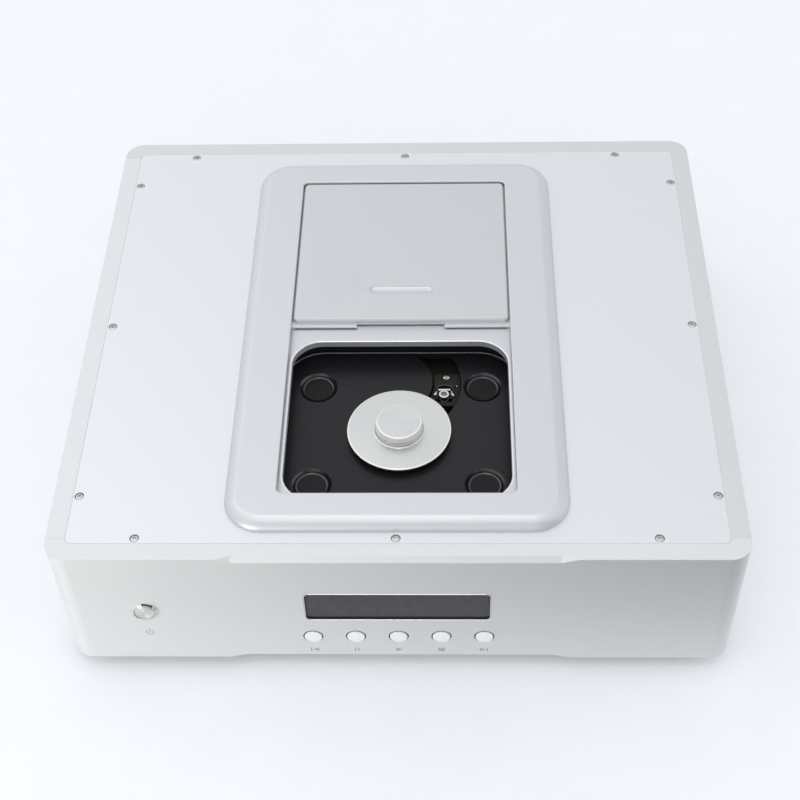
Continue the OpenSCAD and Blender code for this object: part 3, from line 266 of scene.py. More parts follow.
def hoop(outer, inner, low, high):
    """Steps round a thin upright hoop between two outlines and two heights."""
    return [(outer, low), (outer, high), (inner, high), (inner, low)]


cover_finish = finish("fine_blasted_aluminium", "#E8EBEC", 1.0, 0.5,
                      0.8, ("#E6E9EA", "#EAEDEE"), (0.47, 0.53), 0.004, edge_mm=0.3)
dress(cover_finish, "top_cover")
cover = box_mm("top_cover")
cover_r = 4
seam = 0.2
seam_drop = 0.05
seam_deep = 1.0
seam_steps = hoop(seam, 0, cover.high[2] - seam_deep, cover.high[2] - seam_drop)
skin("cover_seam_ledge", [rings(cover.size, cover_r, cover.mid, seam_steps)], panel_finish,
     "chassis", "case_aluminium", loop=True)

# Cover screws
# Stainless socket screws with low round heads, sunk in counterbores just below the cover's face.
# The hex socket looks dark, and the crown round it catches the light.
screw_top = box_mm("cover_screws").high
screw_r = 2.8
screw_head = 1.8
screw_crown = 0.7
crown_edge = (0.15, 0.1)
crown_rise = (0.6, 0.12)
socket_r = 1.35
socket_deep = 1.4
socket_rim = 1.28 * socket_r
socket_wall = 0.94 * socket_r
socket_chamfer = (0.02, 0.25)
drill_point = 0.2
HEX_STEPS = 48


def socket_head():
    """Socket screw's head on a polar grid. The rings of the socket follow a hexagon, whose radius at turn t is
    its flat's distance over cos(t mod 60 - 30 degrees); the outer rings are circles on a low crown."""
    turns = np.linspace(0, 2 * np.pi, HEX_STEPS, endpoint=False)
    hexagon = 1 / np.cos(np.mod(turns, np.pi / 3) - np.pi / 6)
    circle = np.ones(HEX_STEPS)
    radii = [(screw_r, circle, -screw_head), (screw_r, circle, -screw_crown - crown_edge[1]),
             (screw_r - crown_edge[0], circle, -screw_crown), (screw_r - crown_rise[0], circle, -crown_rise[1]),
             (socket_rim, circle, 0), (socket_r, hexagon, -socket_chamfer[0]),
             (socket_wall, hexagon, -socket_chamfer[1]), (socket_wall, hexagon, -socket_deep),
             (drill_point, circle, -socket_deep - drill_point)]
    return np.stack([np.stack([r * shape * np.cos(turns), r * shape * np.sin(turns), z + 0 * turns], 1)
                     for r, shape, z in radii])


# Stainless steel: turned, bright, with a faint smear
stainless = finish("turned_stainless", "#DAD9D7", 1.0, 0.22,
                   0.7, ("#D2D1CF", "#E2E1DF"), (0.16, 0.28), 0.003)
screw_x, screw_y = screw_top[:2] - screw_r
row_x = 160
row_y = 147.5
screw_points = [(x * row_x, y * screw_y) for x in (-1, 0, 1) for y in (-1, 1)]
screw_points += [(x * screw_x, y * row_y) for x in (-1, 1) for y in (-1, 0, 1)]
skin("socket_cover_screws", [socket_head() + np.array([x, y, screw_top[2]]) for x, y in screw_points],
     stainless, "chassis", "screw_steel", "cover_screws")

# Raised lid frame
# A frame milled from one plate, with a broad rounded outer edge that starts crisply, and inside it the opening
# that the lid runs in. Satin anodised, held from below by screws. A groove guides the lid's slide.


def round_edge(radius, steps):
    """Inset and drop of a quarter-round edge: radius times 1 - cos a and 1 - sin a, a from 0 to 90 degrees."""
    angle = np.linspace(0, np.pi / 2, steps)
    return radius * np.stack([1 - np.cos(angle), 1 - np.sin(angle)], 1)


def edge_steps(profile, z, hole=False):
    """Steps of an edge that ends at height z: up to it round a plate, which each (inset, drop) of the profile
    makes smaller, or down from it into a hole, which they make larger."""
    side = 1 if hole else -1
    steps = [(side * inset, z - drop) for inset, drop in profile]
    return steps[::-1] if hole else steps


# Satin anodised aluminium: etched before it is anodised, silky, a little darker than the cover
satin_finish = finish("satin_anodised_aluminium", "#DBDDDE", 1.0, 0.48,
                      0.7, ("#D9DBDC", "#DDDFE0"), (0.45, 0.51), 0.003, edge_mm=0.2)
bezel = box_mm("lid_bezel")
track = box_mm("track_plate")
deck = box_mm("deck_plate")
bezel_r = 24
edge_start = math.radians(25)
edge_turn = np.linspace(math.pi / 2, edge_start, 18)
edge_reach = 13.9
edge_fall = 7.94
bezel_edge = np.stack([edge_reach * (1 - np.sin(edge_turn)),
                       edge_fall * (math.cos(edge_start) - np.cos(edge_turn))], 1)
track_land = 8
runner = 1.5
groove_size = track.size - 2 * track_land
groove_top = box_mm("lid_slider").high[2] + 0.3
deck_over = 7.2
slot_front = deck.low[1] + deck_over
slot_rear = track.high[1] - track_land - runner
slot_size = (groove_size[0] - 2 * runner, slot_rear - slot_front)
slot_mid = (0, (slot_front + slot_rear) / 2)
slot_r = 4
slot_edge = round_edge(0.9, 6)
bezel_rings = np.concatenate([
    rings(bezel.size, bezel_r, bezel.mid, [(0, bezel.low[2])] + edge_steps(bezel_edge, bezel.high[2])),
    rings(slot_size, slot_r, slot_mid, edge_steps(slot_edge, bezel.high[2], hole=True) + [(0, groove_top)]),
    rings(groove_size, slot_r, track.mid, [(0, groove_top), (0, bezel.low[2])]),
])
skin("raised_lid_frame", [bezel_rings], satin_finish, "chassis", "frame_aluminium", "lid_bezel", loop=True)

# Floor plate under the lid
# The plate that the lid slides over, with a raised middle and the well's opening milled through it. The
# opening's upper edge is rounded and diamond cut, so that it shines as a white line over the milled wall.
well_size = deck.size - 2 * deck_over
well_r = 20
well_edge = 0.8
edge_w = 1.6
glide_room = 0.05
floor_top = track.high[2] - glide_room
wall_top = floor_top - well_edge - 0.1
floor_gap = 0.3
floor_edge = round_edge(0.3, 4)
track_rings = np.concatenate([
    rings(track.size, slot_r, track.mid, [(0, track.low[2]), (0, bezel.low[2])]),
    rings(groove_size, slot_r, track.mid,
          [(grow - floor_gap, z) for grow, z in [(0, bezel.low[2])] + edge_steps(floor_edge, floor_top)]),
    rings(well_size, well_r, deck.mid, [(edge_w, floor_top), (edge_w, track.low[2])]),
])
skin("lid_floor_plate", [track_rings], satin_finish, "chassis", "frame_aluminium", "track_plate", loop=True)
# Diamond-cut aluminium: mirror bright, so that the round edge draws a white line
cut_finish = finish("diamond_cut_aluminium", "#E8E9EB", 1.0, 0.22,
                    0.6, ("#E6E7E9", "#EAEBED"), (0.19, 0.25), 0.001)
rim_steps = [(edge_w, wall_top), (edge_w, floor_top)]
rim_steps += edge_steps(round_edge(well_edge, 8), floor_top, hole=True) + [(0, wall_top)]
skin("well_cut_edge", [rings(well_size, well_r, deck.mid, rim_steps)], cut_finish,
     "chassis", "frame_aluminium", loop=True)
# Milled wall: cutter marks scatter the light, so that it is grey where a mirror would show the black well
milled_wall = finish("milled_aluminium", "#B9BBBD", 0.45, 0.55,
                     0.7, ("#AEB0B2", "#C4C6C8"), (0.5, 0.6), 0.01, stretch=(1, 1, 0.3))
skin("well_milled_wall", [rings(well_size, well_r, deck.mid, hoop(edge_w, 0, track.low[2], wall_top))],
     milled_wall, "chassis", "frame_aluminium", loop=True)

# Lid and its slide
# A milled plate with rounded edges and a finger groove, screwed to a thin slide plate whose lip and
# notch show in front of it. Low-friction strips under the slide carry it; it is moved by hand.
lid = box_mm("lid")
lid_top = lid.high[2]
lid_r = 4
lid_edge = [(0, 1.4), (0.15, 1.1), (1.1, 0.15), (1.4, 0)]
grip_size = (44, 7.5)
grip_r = grip_size[1] / 2
grip_deep = 1.8
grip_flat = 0.3
grip_mid = (0, lid.low[1] + 29.5)
grip_edge = round_edge(0.5, 5)
scoop = np.radians(np.linspace(12, 90, 8))
scoop_steps = list(zip((grip_flat - grip_r) * (1 - np.cos(scoop)), lid_top - grip_deep * np.sin(scoop)))
lid_rings = np.concatenate([
    rings(lid.size, lid_r, lid.mid, [(0, lid.low[2])] + edge_steps(lid_edge, lid_top)),
    rings(grip_size, grip_r, grip_mid, edge_steps(grip_edge, lid_top, hole=True) + scoop_steps),
])
# Etched aluminium: the lid comes from another bath than its frame and is a shade warmer
etched_finish = finish("etched_aluminium", "#D5D9D9", 1.0, 0.42,
                       0.7, ("#D3D7D7", "#D7DBDB"), (0.39, 0.45), 0.003, edge_mm=0.2)
skin("sliding_lid", [lid_rings], etched_finish, "lid", "lid_aluminium", "lid")
scoop_skin = np.array([0, 0, 0.05])
scoop_rings = rings(grip_size, grip_r, grip_mid, scoop_steps)
skin("finger_groove_facing", [np.concatenate([scoop_rings[::-1] - scoop_skin, scoop_rings + scoop_skin])],
     satin_finish, "lid", "lid_aluminium")
dress(cover_finish, "lid_slider")
# Filled fluoropolymer strip: waxy ivory
dress(finish("glide_strip_fluoropolymer", "#DCD6C4", 0.0, 0.45,
             0.9, ("#D6D0BE", "#E2DCCC"), (0.4, 0.5), 0.005), "lid_glides")

# Disc well
# A shroud of bent sheet round the well and a milled deck below it, both black anodised: a deep,
# slightly uneven black with a soft sheen. A pale line along the deck's outer edge is a painted highlight.
black_anodised = finish("black_anodised_aluminium", "#1B1B1E", 0.0, 0.36,
                        1.2, ("#18181B", "#1F1F22"), (0.32, 0.4), 0.006, edge_mm=0.4, Specular_IOR_Level=0.3)
dress(black_anodised, "well_shroud", "deck_plate")


def bead(radius, middle, z):
    """Steps round a bead: the middle of its section plus radius times (cos t, sin t)."""
    turns = np.linspace(0, 2 * np.pi, 8, endpoint=False)
    return list(zip(middle + radius * np.cos(turns), z + radius * np.sin(turns)))


deck_top = deck.high[2]
bead_r = 0.45
# Pale grey metal bead along the black plate's outer edge: a painted highlight where that edge catches the light
deck_edge_highlight_finish = finish("deck_edge_painted_highlight", "#C4C4C6", 1.0, 0.4,
                  0.8, ("#B6B6B8", "#D0D0D2"), (0.34, 0.46), 0.004)
skin("deck_edge_line", [rings(deck.size, well_r + deck_over, deck.mid, bead(bead_r, -bead_r, deck_top))],
     deck_edge_highlight_finish, "chassis", "black_anodised", loop=True)

# Deck mounts
# Each corner of the deck hangs on a rubber damper, clamped by a black moulded cap that lies flush
# in a countersunk recess. A shank runs down through the damper into a pillar.
# Moulded ABS: black, fine spark texture
black_abs = finish("black_moulded_abs", "#131315", 0.0, 0.42,
                   0.7, ("#111113", "#161618"), (0.38, 0.46), 0.004, Specular_IOR_Level=0.22)
caps = box_mm("damper_caps")
cap_r = 10.5
cap_show_r = 10.9
cap_sink = 0.7
cap_rim = 0.5
cap_edge = 0.1
cap_dish, cap_deep = 0.9, 0.35
cap_skirt = 0.65
dish_r = cap_show_r - cap_rim
cap_face_r = dish_r - cap_dish
cap_profile = [[(CORE_R, -cap_skirt), (cap_show_r, -cap_skirt), (cap_show_r, -cap_edge),
                (cap_show_r - cap_edge, 0), (dish_r, 0), (cap_face_r, -cap_deep), (CORE_R, -cap_deep)]]
slope_skin, slope_shift = 0.03, 0.02
cap_slope_profile = [[(cap_face_r, -cap_deep - slope_skin), (dish_r, -slope_skin),
                      (dish_r + slope_shift, slope_shift), (cap_face_r + slope_shift, -cap_deep + slope_skin)]]
# Upper part of the cone of the deck's recess
cone_low, cone_high, cone_deep, cone_skin, cone_lift = 12.0, 13.2, 1.14, 0.08, 0.03
cone_profile = [[(cone_low, -cone_deep), (cone_high, -cone_skin), (cone_high, cone_lift),
                 (cone_high - cone_skin, cone_lift), (cone_low - cone_skin, -cone_deep)]]
cap_points = corner_points(caps, cap_r, caps.high[2] - cap_sink)
skin("damper_cap_discs", [turn(cap_profile) + p for p in cap_points], black_abs,
     "chassis", "black_plastic", "damper_caps")
# Turned black: cut smoother than the deck and the caps' faces, so that it shines more
turned_black = finish("turned_black_anodised", "#1B1B1E", 0.0, 0.27,
                      0.8, ("#18181B", "#1F1F22"), (0.24, 0.3), 0.003, Specular_IOR_Level=0.9)
skin("damper_cap_rims", [turn(cap_slope_profile) + p for p in cap_points], turned_black,
     "chassis", "black_plastic", loop=True)
skin("deck_recess_cones", [turn(cone_profile) + p for p in corner_points(caps, cap_r, deck_top)], turned_black,
     "chassis", "black_anodised", loop=True)
dress(rubber, "dampers")

# Spindle
# A flat motor under the deck, a ground steel shaft and a turned hub with a short nose that centres
# the disc. Only the edge of the hub shows under the clamp.
# Ground steel: bright, with marks round the axis
ground_steel = finish("ground_steel", "#BEBEBE", 1.0, 0.25,
                      0.6, ("#B2B2B2", "#CACACA"), (0.2, 0.32), 0.003)
dress(ground_steel, "spindle_shaft", "spindle_hub", "pivot_shaft", "pivot_bearings", "pivot_clip")
# Nickel-plated sheet: the motor's can and the pickup's magnet yokes, a warm grey with a soft gloss
dress(finish("nickel_plated_sheet", "#8E8D8A", 1.0, 0.32,
             1.4, ("#848380", "#9A9996"), (0.26, 0.4), 0.004), "spindle_motor", "radial_yoke", "clamp_magnet")

# Disc clamp
# A loose puck turned from aluminium, with a thin flange, a fillet and a grip with two fine grooves,
# and a ring magnet inside. Its faces carry the marks of the lathe tool and shine in a soft fan.
CLAMP_STEPS = 160


def turned_marks(material, centre_mm, axes, spin, across):
    """Makes a finish follow a lathe's marks: its noise takes the distance from the axis alone, so it makes
    rings. The tangent runs round the axis, as spin crossed with the radius, and draws the shine out across it."""
    tree = material.node_tree
    shader = tree.nodes["Principled BSDF"]
    centred = add_node(tree, "Mapping", {"Location": tuple(-c * MM for c in centre_mm), "Scale": axes},
                       {"Vector": tree.nodes["Texture Coordinate"].outputs["Object"]}).outputs["Vector"]
    round_axis = add_node(tree, "VectorMath", {0: spin}, {1: centred}, operation="CROSS_PRODUCT")
    tree.links.new(round_axis.outputs["Vector"], shader.inputs["Tangent"])
    shader.inputs["Anisotropic"].default_value = across
    shader.inputs["Anisotropic Rotation"].default_value = 0.25
    off_axis = add_node(tree, "VectorMath", links={0: centred}, operation="LENGTH")
    tree.links.new(off_axis.outputs["Value"], tree.nodes["Mapping"].inputs["Vector"])


clamp = box_mm("disc_clamp")
# Turned aluminium, clear anodised; the tool's feed of 0.1 mm is drawn at 0.5 mm so that it shows
clamp_finish = finish("lathe_turned_aluminium", "#DADCD8", 1.0, 0.34,
                      0.5, ("#D8DAD6", "#DCDEDA"), (0.31, 0.37), 0.001)
turned_marks(clamp_finish, (0, clamp.mid[1], 0), (1, 1, 0), (0, 0, 1), 0.4)
clamp_r = clamp.size[0] / 2
magnet_r = 13
boss_r = 15.5
boss_core = boss_r - 0.5
flange_top = clamp.low[2] + 2.2
boss_top = clamp.high[2]
rim_round = 0.8
fillet = 1.5
fillet_top = flange_top + fillet
boss_round = 1.6
rim_in, rim_drop = 0.9, 0.32
rim_room = 0.02
band_deep = 0.1
band_close = 0.3
rim_low = flange_top - 1
rim_proud = 0.01


def ring_groove(z, depth, width):
    """A turned groove in the grip's side, with sloped walls."""
    floor_r = boss_r - depth
    return [(boss_r, z - width), (floor_r, z - width / 2), (floor_r, z + width / 2), (boss_r, z + width)]


grip_groove_z = flange_top + 3.3
base_groove_z = fillet_top + 0.35
clamp_profile = [
    [(magnet_r, clamp.low[2]), (clamp_r - rim_round, clamp.low[2])],
    arc((clamp_r - rim_round, clamp.low[2] + rim_round), rim_round, -90, 0, 6),
    [(clamp_r - rim_room, flange_top - rim_drop - rim_room), (clamp_r - rim_in - rim_room, flange_top)],
    arc((boss_r + fillet, fillet_top), fillet, 270, 180, 8),
    [(boss_core, fillet_top), (boss_core, boss_top - boss_round)],
    [(boss_r - boss_round, boss_top), (CORE_R, boss_top)],
]
band_profile = [
    [(boss_core - band_deep, fillet_top - band_deep), (boss_r, fillet_top - band_deep)],
    ring_groove(base_groove_z, depth=0.25, width=0.12),
    ring_groove(grip_groove_z, depth=0.45, width=0.3),
    arc((boss_r - boss_round, boss_top - boss_round), boss_round, 0, 88, 8),
    [(boss_r - boss_round, boss_top - band_close)],
]
rim_profile = [[(clamp_r - rim_in - band_deep, rim_low), (clamp_r - band_deep, rim_low),
                (clamp_r, flange_top - rim_drop), (clamp_r - rim_in, flange_top + rim_proud)]]
# Dark rings in the grip's two grooves: painted shade for the shadow deep in the grooves
groove_shade_r = boss_r - 0.06
groove_shade_profiles = [[[(boss_core, z - h), (groove_shade_r, z - h), (groove_shade_r, z + h), (boss_core, z + h)]]
                 for z, h in ((grip_groove_z, 0.22), (base_groove_z, 0.12))]
clamp_at = clamp.mid * (1, 1, 0)
skin("disc_clamp_puck", [turn(clamp_profile, CLAMP_STEPS) + clamp_at], clamp_finish,
     "clamp", "turned_aluminium", "disc_clamp")
# The grip's side and the flange's chamfer take a paler, partly diffuse copy of the clamp's aluminium: a painted
# highlight
clamp_highlight_finish = finish("clamp_painted_highlight", "#F6F5F0", 0.35, 0.35,
                  0.5, ("#F4F3EE", "#F8F7F2"), (0.32, 0.38), 0.0005)
skin("disc_clamp_band", [turn(profile, CLAMP_STEPS) + clamp_at for profile in (band_profile, rim_profile)],
     clamp_highlight_finish, "clamp", "turned_aluminium", loop=True)
skin("disc_clamp_groove_shade", [turn(profile, CLAMP_STEPS) + clamp_at for profile in groove_shade_profiles],
     turned_black, "clamp", "turned_aluminium", loop=True)

# Pickup
# A black moulded arm swings in the deck's curved slot and carries the lens on a sprung frame. A bright
# stamped frame holds the lens ring, two spring lugs stand beside it, and a small amber optic lies behind.
# Black resin: moulded, dull, so that the arm stays darker than the deck round it
arm_black = finish("pickup_black_resin", "#1E1D1A", 0.0, 0.5,
                   0.8, ("#1A1916", "#23221F"), (0.45, 0.55), 0.006, Specular_IOR_Level=0.2)
dress(arm_black, "pickup_arm")
# Black oxide on steel: dark grey, satin
black_oxide = finish("black_oxide_steel", "#1B1B1B", 0.0, 0.4,
                     0.9, ("#181818", "#1F1F1F"), (0.36, 0.46), 0.004, Specular_IOR_Level=0.3)
dress(black_oxide, "actuator_yoke")
# Bright stamped metal: the small frame that carries the lens, nearly white under soft light
stamped_metal = finish("bright_stamped_metal", "#DEDDD9", 1.0, 0.3,
                       0.5, ("#D4D3CF", "#E6E5E1"), (0.24, 0.38), 0.003)
holder = box_mm("lens_holder")
lens = box_mm("objective_lens")
arm = box_mm("pickup_arm")
arm_top = arm.high[2]
lens_at = lens.mid * (1, 1, 0)
lens_r = 2.0
ring_top = holder.high[2] + 0.5
lens_ring_r = 3.65
ring_round = 0.7
ring_lip = 0.4
lens_seat = ring_top - 1.0
lens_ring_profile = [
    [(lens_ring_r, holder.low[2]), (lens_ring_r, ring_top - 0.8)],
    arc((lens_ring_r - ring_round, ring_top - ring_round), ring_round, 0, 90, 6),
    arc((lens_r + ring_lip, ring_top - ring_lip), ring_lip, 90, 180, 5),
    [(lens_r, lens_seat), (0.3, lens_seat)],
]
neck = np.array([(-3.4, 3.8), (-1.8, 2.2), (1.8, 2.2), (3.8, 3.8)])
neck_rings = np.stack([raised(neck, ring_top - drop) for drop in (1.3, 0.75)])
bar_size = (8.6, 1.4)
bar_mid = (0.2, 3.7)
bar_r, bar_edge = 0.5, 0.2
bar_low, bar_side, bar_top = (ring_top - drop for drop in (0.65, 0.25, 0.05))
bar_rings = np.concatenate([
    rings(bar_size, bar_r, bar_mid, [(0, bar_low), (0, bar_side)]),
    rings(bar_size, bar_r + bar_edge / 2, bar_mid, [(-bar_edge, bar_top)]),
])
skin("lens_ring_and_frame",
     [block + lens_at for block in (turn(lens_ring_profile, 64), neck_rings, bar_rings)],
     stamped_metal, "lens", "lens_holder_plastic", "lens_holder")
# Coated glass: a clear lens whose coating shows a faint brown and violet bloom
lens_glass = finish("coated_lens_glass", "#6E6A66", 0.0, 0.06,
                    1.5, ("#5E5A58", "#7C7874"), (0.04, 0.09), 0.001, IOR=1.52, Coat_Weight=0.6)
dome_share = np.linspace(1, 0.08, 8)
lens_rim = lens_r - 0.05
lens_low = ring_top - 1.6
lens_dome = 0.65
lens_profile = [[(0.2, lens_low), (lens_rim, lens_low)],
                np.stack([lens_rim * dome_share, ring_top - 0.3 - lens_dome * dome_share ** 2], 1)]
skin("domed_objective_lens", [turn(lens_profile, 48) + lens_at], lens_glass,
     "lens", "lens_glass", "objective_lens")


def tube(path, radius, sides=10):
    """Round wire carried along a path: at each point a circle across the path's direction, built on that
    direction's cross products with the vertical."""
    along = np.gradient(path, axis=0)
    along /= np.linalg.norm(along, axis=1, keepdims=True)
    across = np.cross([0.0, 0.0, 1.0], along)
    across /= np.linalg.norm(across, axis=1, keepdims=True)
    above = np.cross(along, across)
    turns = np.linspace(0, 2 * np.pi, sides, endpoint=False)[:, None, None]
    return (path + np.broadcast_to(radius, len(path))[:, None]
            * (np.cos(turns) * across + np.sin(turns) * above)).transpose(1, 0, 2)


lug_x, lug_y, lug_drop = 5.1, 2.5, 0.9
lug_flare, lug_sag = 1.4, 0.5
lug_way = np.linspace(0, 1, 9)
lug_r = 0.5 + 0.45 * np.sin(np.pi * np.minimum(lug_way ** 2, 0.75))
lug_paths = [np.stack([side * (lug_x + lug_flare * lug_way ** 2), lug_y - reach * lug_way,
                       ring_top - lug_drop - lug_sag * lug_way ** 2], 1)
             for side, reach in ((-1, 2.8), (1, 3.6))]
skin("lens_spring_lugs", [tube(path + lens_at, lug_r) for path in lug_paths], stamped_metal,
     "pickup", "bright_steel")
# Head plate: a dark cover on the arm's head behind the lens, with an arched wire along its front edge
plate_size = (15.6, 11.4)
plate_mid = lens.mid[:2] + (1.3, 13.4)
plate_top = arm_top + 0.5
plate_edge = 0.15
plate_rings = np.concatenate([
    rings(plate_size, 0.6, plate_mid, [(0, arm_top - 0.2), (0, plate_top - plate_edge)]),
    rings(plate_size, 0.65, plate_mid, [(-plate_edge, plate_top)]),
])
skin("pickup_head_plate", [plate_rings], black_oxide, "pickup", "black_plastic")
# Phosphor bronze: a dull brown spring wire
bronze_wire = finish("phosphor_bronze", "#77714F", 1.0, 0.4,
                     0.5, ("#6D6747", "#817B59"), (0.35, 0.45), 0.003)
wire_x, wire_y = 0.4, 6.0
wire_path = raised(arc((wire_x, wire_y), (5.4, 2.9), 200, -20, 25), plate_top + 0.25)
guard_half, guard_y = 3.5, -6.2
guard_way = np.linspace(-1, 1, 21)
guard_rise = np.where(guard_way < 0, 3.1, 4.3) * np.abs(guard_way) ** 1.3
guard_path = raised(np.stack([wire_x + guard_half * guard_way, guard_y + guard_rise], 1), arm_top + 0.4)
skin("pickup_spring_wires", [tube(wire_path + lens_at, 0.26), tube(guard_path + lens_at, 0.2)], bronze_wire,
     "pickup", "bright_steel")
# Near-black sheet in the opening under the arched wire: painted shade for the shadow in that opening
opening_shade_finish = finish("opening_painted_shade", "#070706", 0.0, 0.9,
                       0.6, ("#060605", "#090908"), (0.85, 0.95), 0.003, Specular_IOR_Level=0.1)
gap_steps = 40
gap_ring = arc((wire_x, wire_y + 0.4), (5.0, 2.2), 0, 360 - 360 / gap_steps, gap_steps)
skin("pickup_spring_opening", [np.stack([raised(gap_ring, plate_top + h) for h in (-0.4, 0.04)]) + lens_at],
     opening_shade_finish, "pickup", "black_plastic")
# Pale amber glass: a small domed optic in the plate
amber_glass = finish("pale_amber_glass", "#A8A684", 0.0, 0.15,
                     1.6, ("#98966F", "#B4B292"), (0.1, 0.2), 0.002)
optic_size = np.array([4.6, 3.5])
optic_r = optic_size[1] / 2
optic_at = lens.mid[:2] + (1.6, 16.0)
optic_foot = plate_top - 0.1
optic_dome = 0.5
optic_rings = np.stack([raised(outline(optic_size * s, optic_r * s, optic_at), optic_foot + optic_dome * h)
                        for s, h in ((1.0, 0), (0.97, 0.4), (0.85, 0.7), (0.6, 0.92), (0.2, 1.0))])
skin("pickup_amber_optic", [optic_rings], amber_glass, "pickup", "lens_glass")


def round_head(radius, skirt):
    """A small turned head: a skirt below and most of a quarter circle above."""
    return turn([[(0.1, -skirt), (radius, -skirt)], arc((0, 0), radius, 0, 80, 6)], 24)


optic_end_x = 1.5
skin("pickup_optic_ends", [round_head(0.95, 0.2) + np.array([optic_at[0] + x, optic_at[1], plate_top - 0.2])
                           for x in (-optic_end_x, optic_end_x)], stamped_metal, "pickup", "lens_glass")
seat_steps = [(grow, optic_foot + h)
              for grow, h in ((0.7, 0), (0.7, 0.3), (0.5, 0.4), (0.25, 0.4), (0.1, 0.25), (0.1, 0))]
skin("pickup_optic_seat", [rings(optic_size, optic_r, optic_at, seat_steps)], arm_black,
     "pickup", "black_plastic", loop=True)
skin("pickup_pin", [round_head(0.6, 0.4) + lens_at + np.array([8.7, 8.2, optic_foot])], stamped_metal,
     "pickup", "bright_steel")
# Edge of the deck's slot: a pale bead along the outer curve, thin at its ends: a painted highlight where the edge
# catches the light
slot_edge_highlight_finish = finish("slot_edge_painted_highlight", "#66665A", 0.8, 0.45,
                   0.6, ("#5E5E52", "#6E6E62"), (0.4, 0.5), 0.003)
slot_steps = 60
slot_out = 49.0
slot_path = raised(arc(box_mm("pivot_shaft").mid, slot_out, 2, 29, slot_steps), deck_top - 0.05)
slot_highlight_r = 0.03 + 0.1 * np.sin(np.linspace(0, np.pi, slot_steps))
skin("deck_slot_edge_line", [tube(slot_path, slot_highlight_r, 6)], slot_edge_highlight_finish, "chassis", "black_anodised")
# Dark grey sheet under the slot on three posts, clear of the arm's swing: painted shade that sets the dim grey
# seen down the slot
slot_shade_card = finish("slot_painted_shade_card", "#2E2E28", 0.0, 0.8,
                    1.0, ("#2A2A24", "#32322C"), (0.75, 0.85), 0.02)
shield_top = arm.low[2] - 1.9
shield_thick = 1
shield_size, shield_r, shield_mid = (38, 80), 3, (27, -28)
shield_rings = rings(shield_size, shield_r, shield_mid, [(0, shield_top - shield_thick), (0, shield_top)])
post_r, post_core = 2, 0.2
post_low, post_high = shield_top - 0.5, deck.low[2]
post = turn([[(post_core, post_low), (post_r, post_low), (post_r, post_high), (post_core, post_high)]], 24)
shield_posts = [post + np.array([x, y, 0]) for x, y in ((44, -36.9), (10, -8.5), (43.5, -65.5))]
skin("pickup_slot_shade_sheet", [shield_rings] + shield_posts, slot_shade_card, "chassis", "black_plastic")
# Enamelled copper: wound in one flat coil, red brown with the grain of its turns
dress(finish("enamelled_copper", "#9A5A2C", 1.0, 0.4,
             0.6, ("#8A4E24", "#AA6834"), (0.34, 0.48), 0.02, stretch=(1, 0.1, 1)),
      "radial_coil", "power_transformer")

# Boards and supply
# Glass-fibre circuit boards with a green solder mask on brass standoffs, and a toroidal transformer
# under a dished steel washer with one bolt. They are closed in, and only their outlines matter.
# Solder mask: a green lacquer, a little uneven over the tracks
dress(finish("green_solder_mask", "#1F4A2C", 0.0, 0.4,
             2.5, ("#1A4026", "#285A38"), (0.32, 0.48), 0.03),
      "servo_board", "main_board", "supply_board", "button_board", "display_module")
# Gold-plated brass: yellow and bright
dress(finish("gold_plated_brass", "#D8B25A", 1.0, 0.25,
             0.7, ("#CCA650", "#E2BE68"), (0.2, 0.3), 0.003), "board_standoffs", "coax_jack")
dress(zinc_plate, "transformer_clamp", "power_switch_nut")
dress(black_abs, "lid_sensor")

# Display window
# A smoked acrylic pane behind the front panel, in a black gasket. Polished, so that it mirrors what
# lies in front of it; the display behind it is off.
smoked_acrylic = finish("smoked_acrylic", "#39373C", 0.0, 0.06,
                        6.0, ("#363439", "#3C3A3F"), (0.05, 0.09), 0.0002, IOR=1.49)
dress(smoked_acrylic, "display_window")
dress(rubber, "window_gasket")


def facing_front(block, at):
    """Turns a piece made along +Z so that it looks towards -Y: (x, y, z) becomes (x, -z, y)."""
    return block[..., [0, 2, 1]] * np.array([1, -1, 1]) + np.array(at)


def front_of(box):
    """Middle of a box's front face."""
    return box.mid[0], box.low[1], box.mid[2]


window_size = (116.6, 28.6)
window_r = 3.25
lip_room, lip_w = 0.02, 0.35
pane = box_mm("display_window")
panel_front = box_mm("front_panel").low[1]
lip_deep = pane.low[1] - panel_front - 0.15
lip_rings = rings(window_size, window_r, (0, 0), hoop(-lip_room, -lip_w, 0, lip_deep))
skin("window_gasket_lip", [facing_front(lip_rings, front_of(pane))], rubber, "chassis", "rubber", loop=True)
line_rings = rings(window_size, window_r, (0, 0), bead(0.35, 0, 0))
skin("window_cut_edge", [facing_front(line_rings, (0, panel_front, pane.mid[2]))], cut_finish,
     "chassis", "case_aluminium", loop=True)

# Push buttons
# Five aluminium caps turned with a rounded rim and a faint dome, blasted and anodised almost white.
# Each sits on a black plunger that slides in a hole of the panel and works a switch on the board behind.
button_finish = finish("white_anodised_aluminium", "#E4E6E8", 0.1, 0.45,
                       0.7, ("#E2E4E6", "#E6E8EA"), (0.4, 0.5), 0.003)
button_r = 5.7
button_round = 0.6
button_dome = 0.18
button_deep = 1.2
plunger_deep = 5.5
face_r = button_r - button_round
button_profile = [
    [(CORE_R, -button_deep), (button_r, -button_deep)],
    arc((face_r, -button_round - button_dome), button_round, 0, 80, 6),
    np.stack([face_r * dome_share, -button_dome * dome_share ** 2], 1),
]
plunger_profile = [[(CORE_R, -plunger_deep), (button_r, -plunger_deep),
                    (button_r, -button_deep), (CORE_R, -button_deep)]]
for key in ("previous", "pause", "play", "stop", "next"):
    key_at = front_of(box_mm(key + "_button"))
    skin(key + "_button_cap", [facing_front(turn(button_profile), key_at)], button_finish,
         key + "_key", "button_aluminium", key + "_button")
    skin(key + "_button_plunger", [facing_front(turn(plunger_profile), key_at)], black_abs,
         key + "_key", "black_plastic")

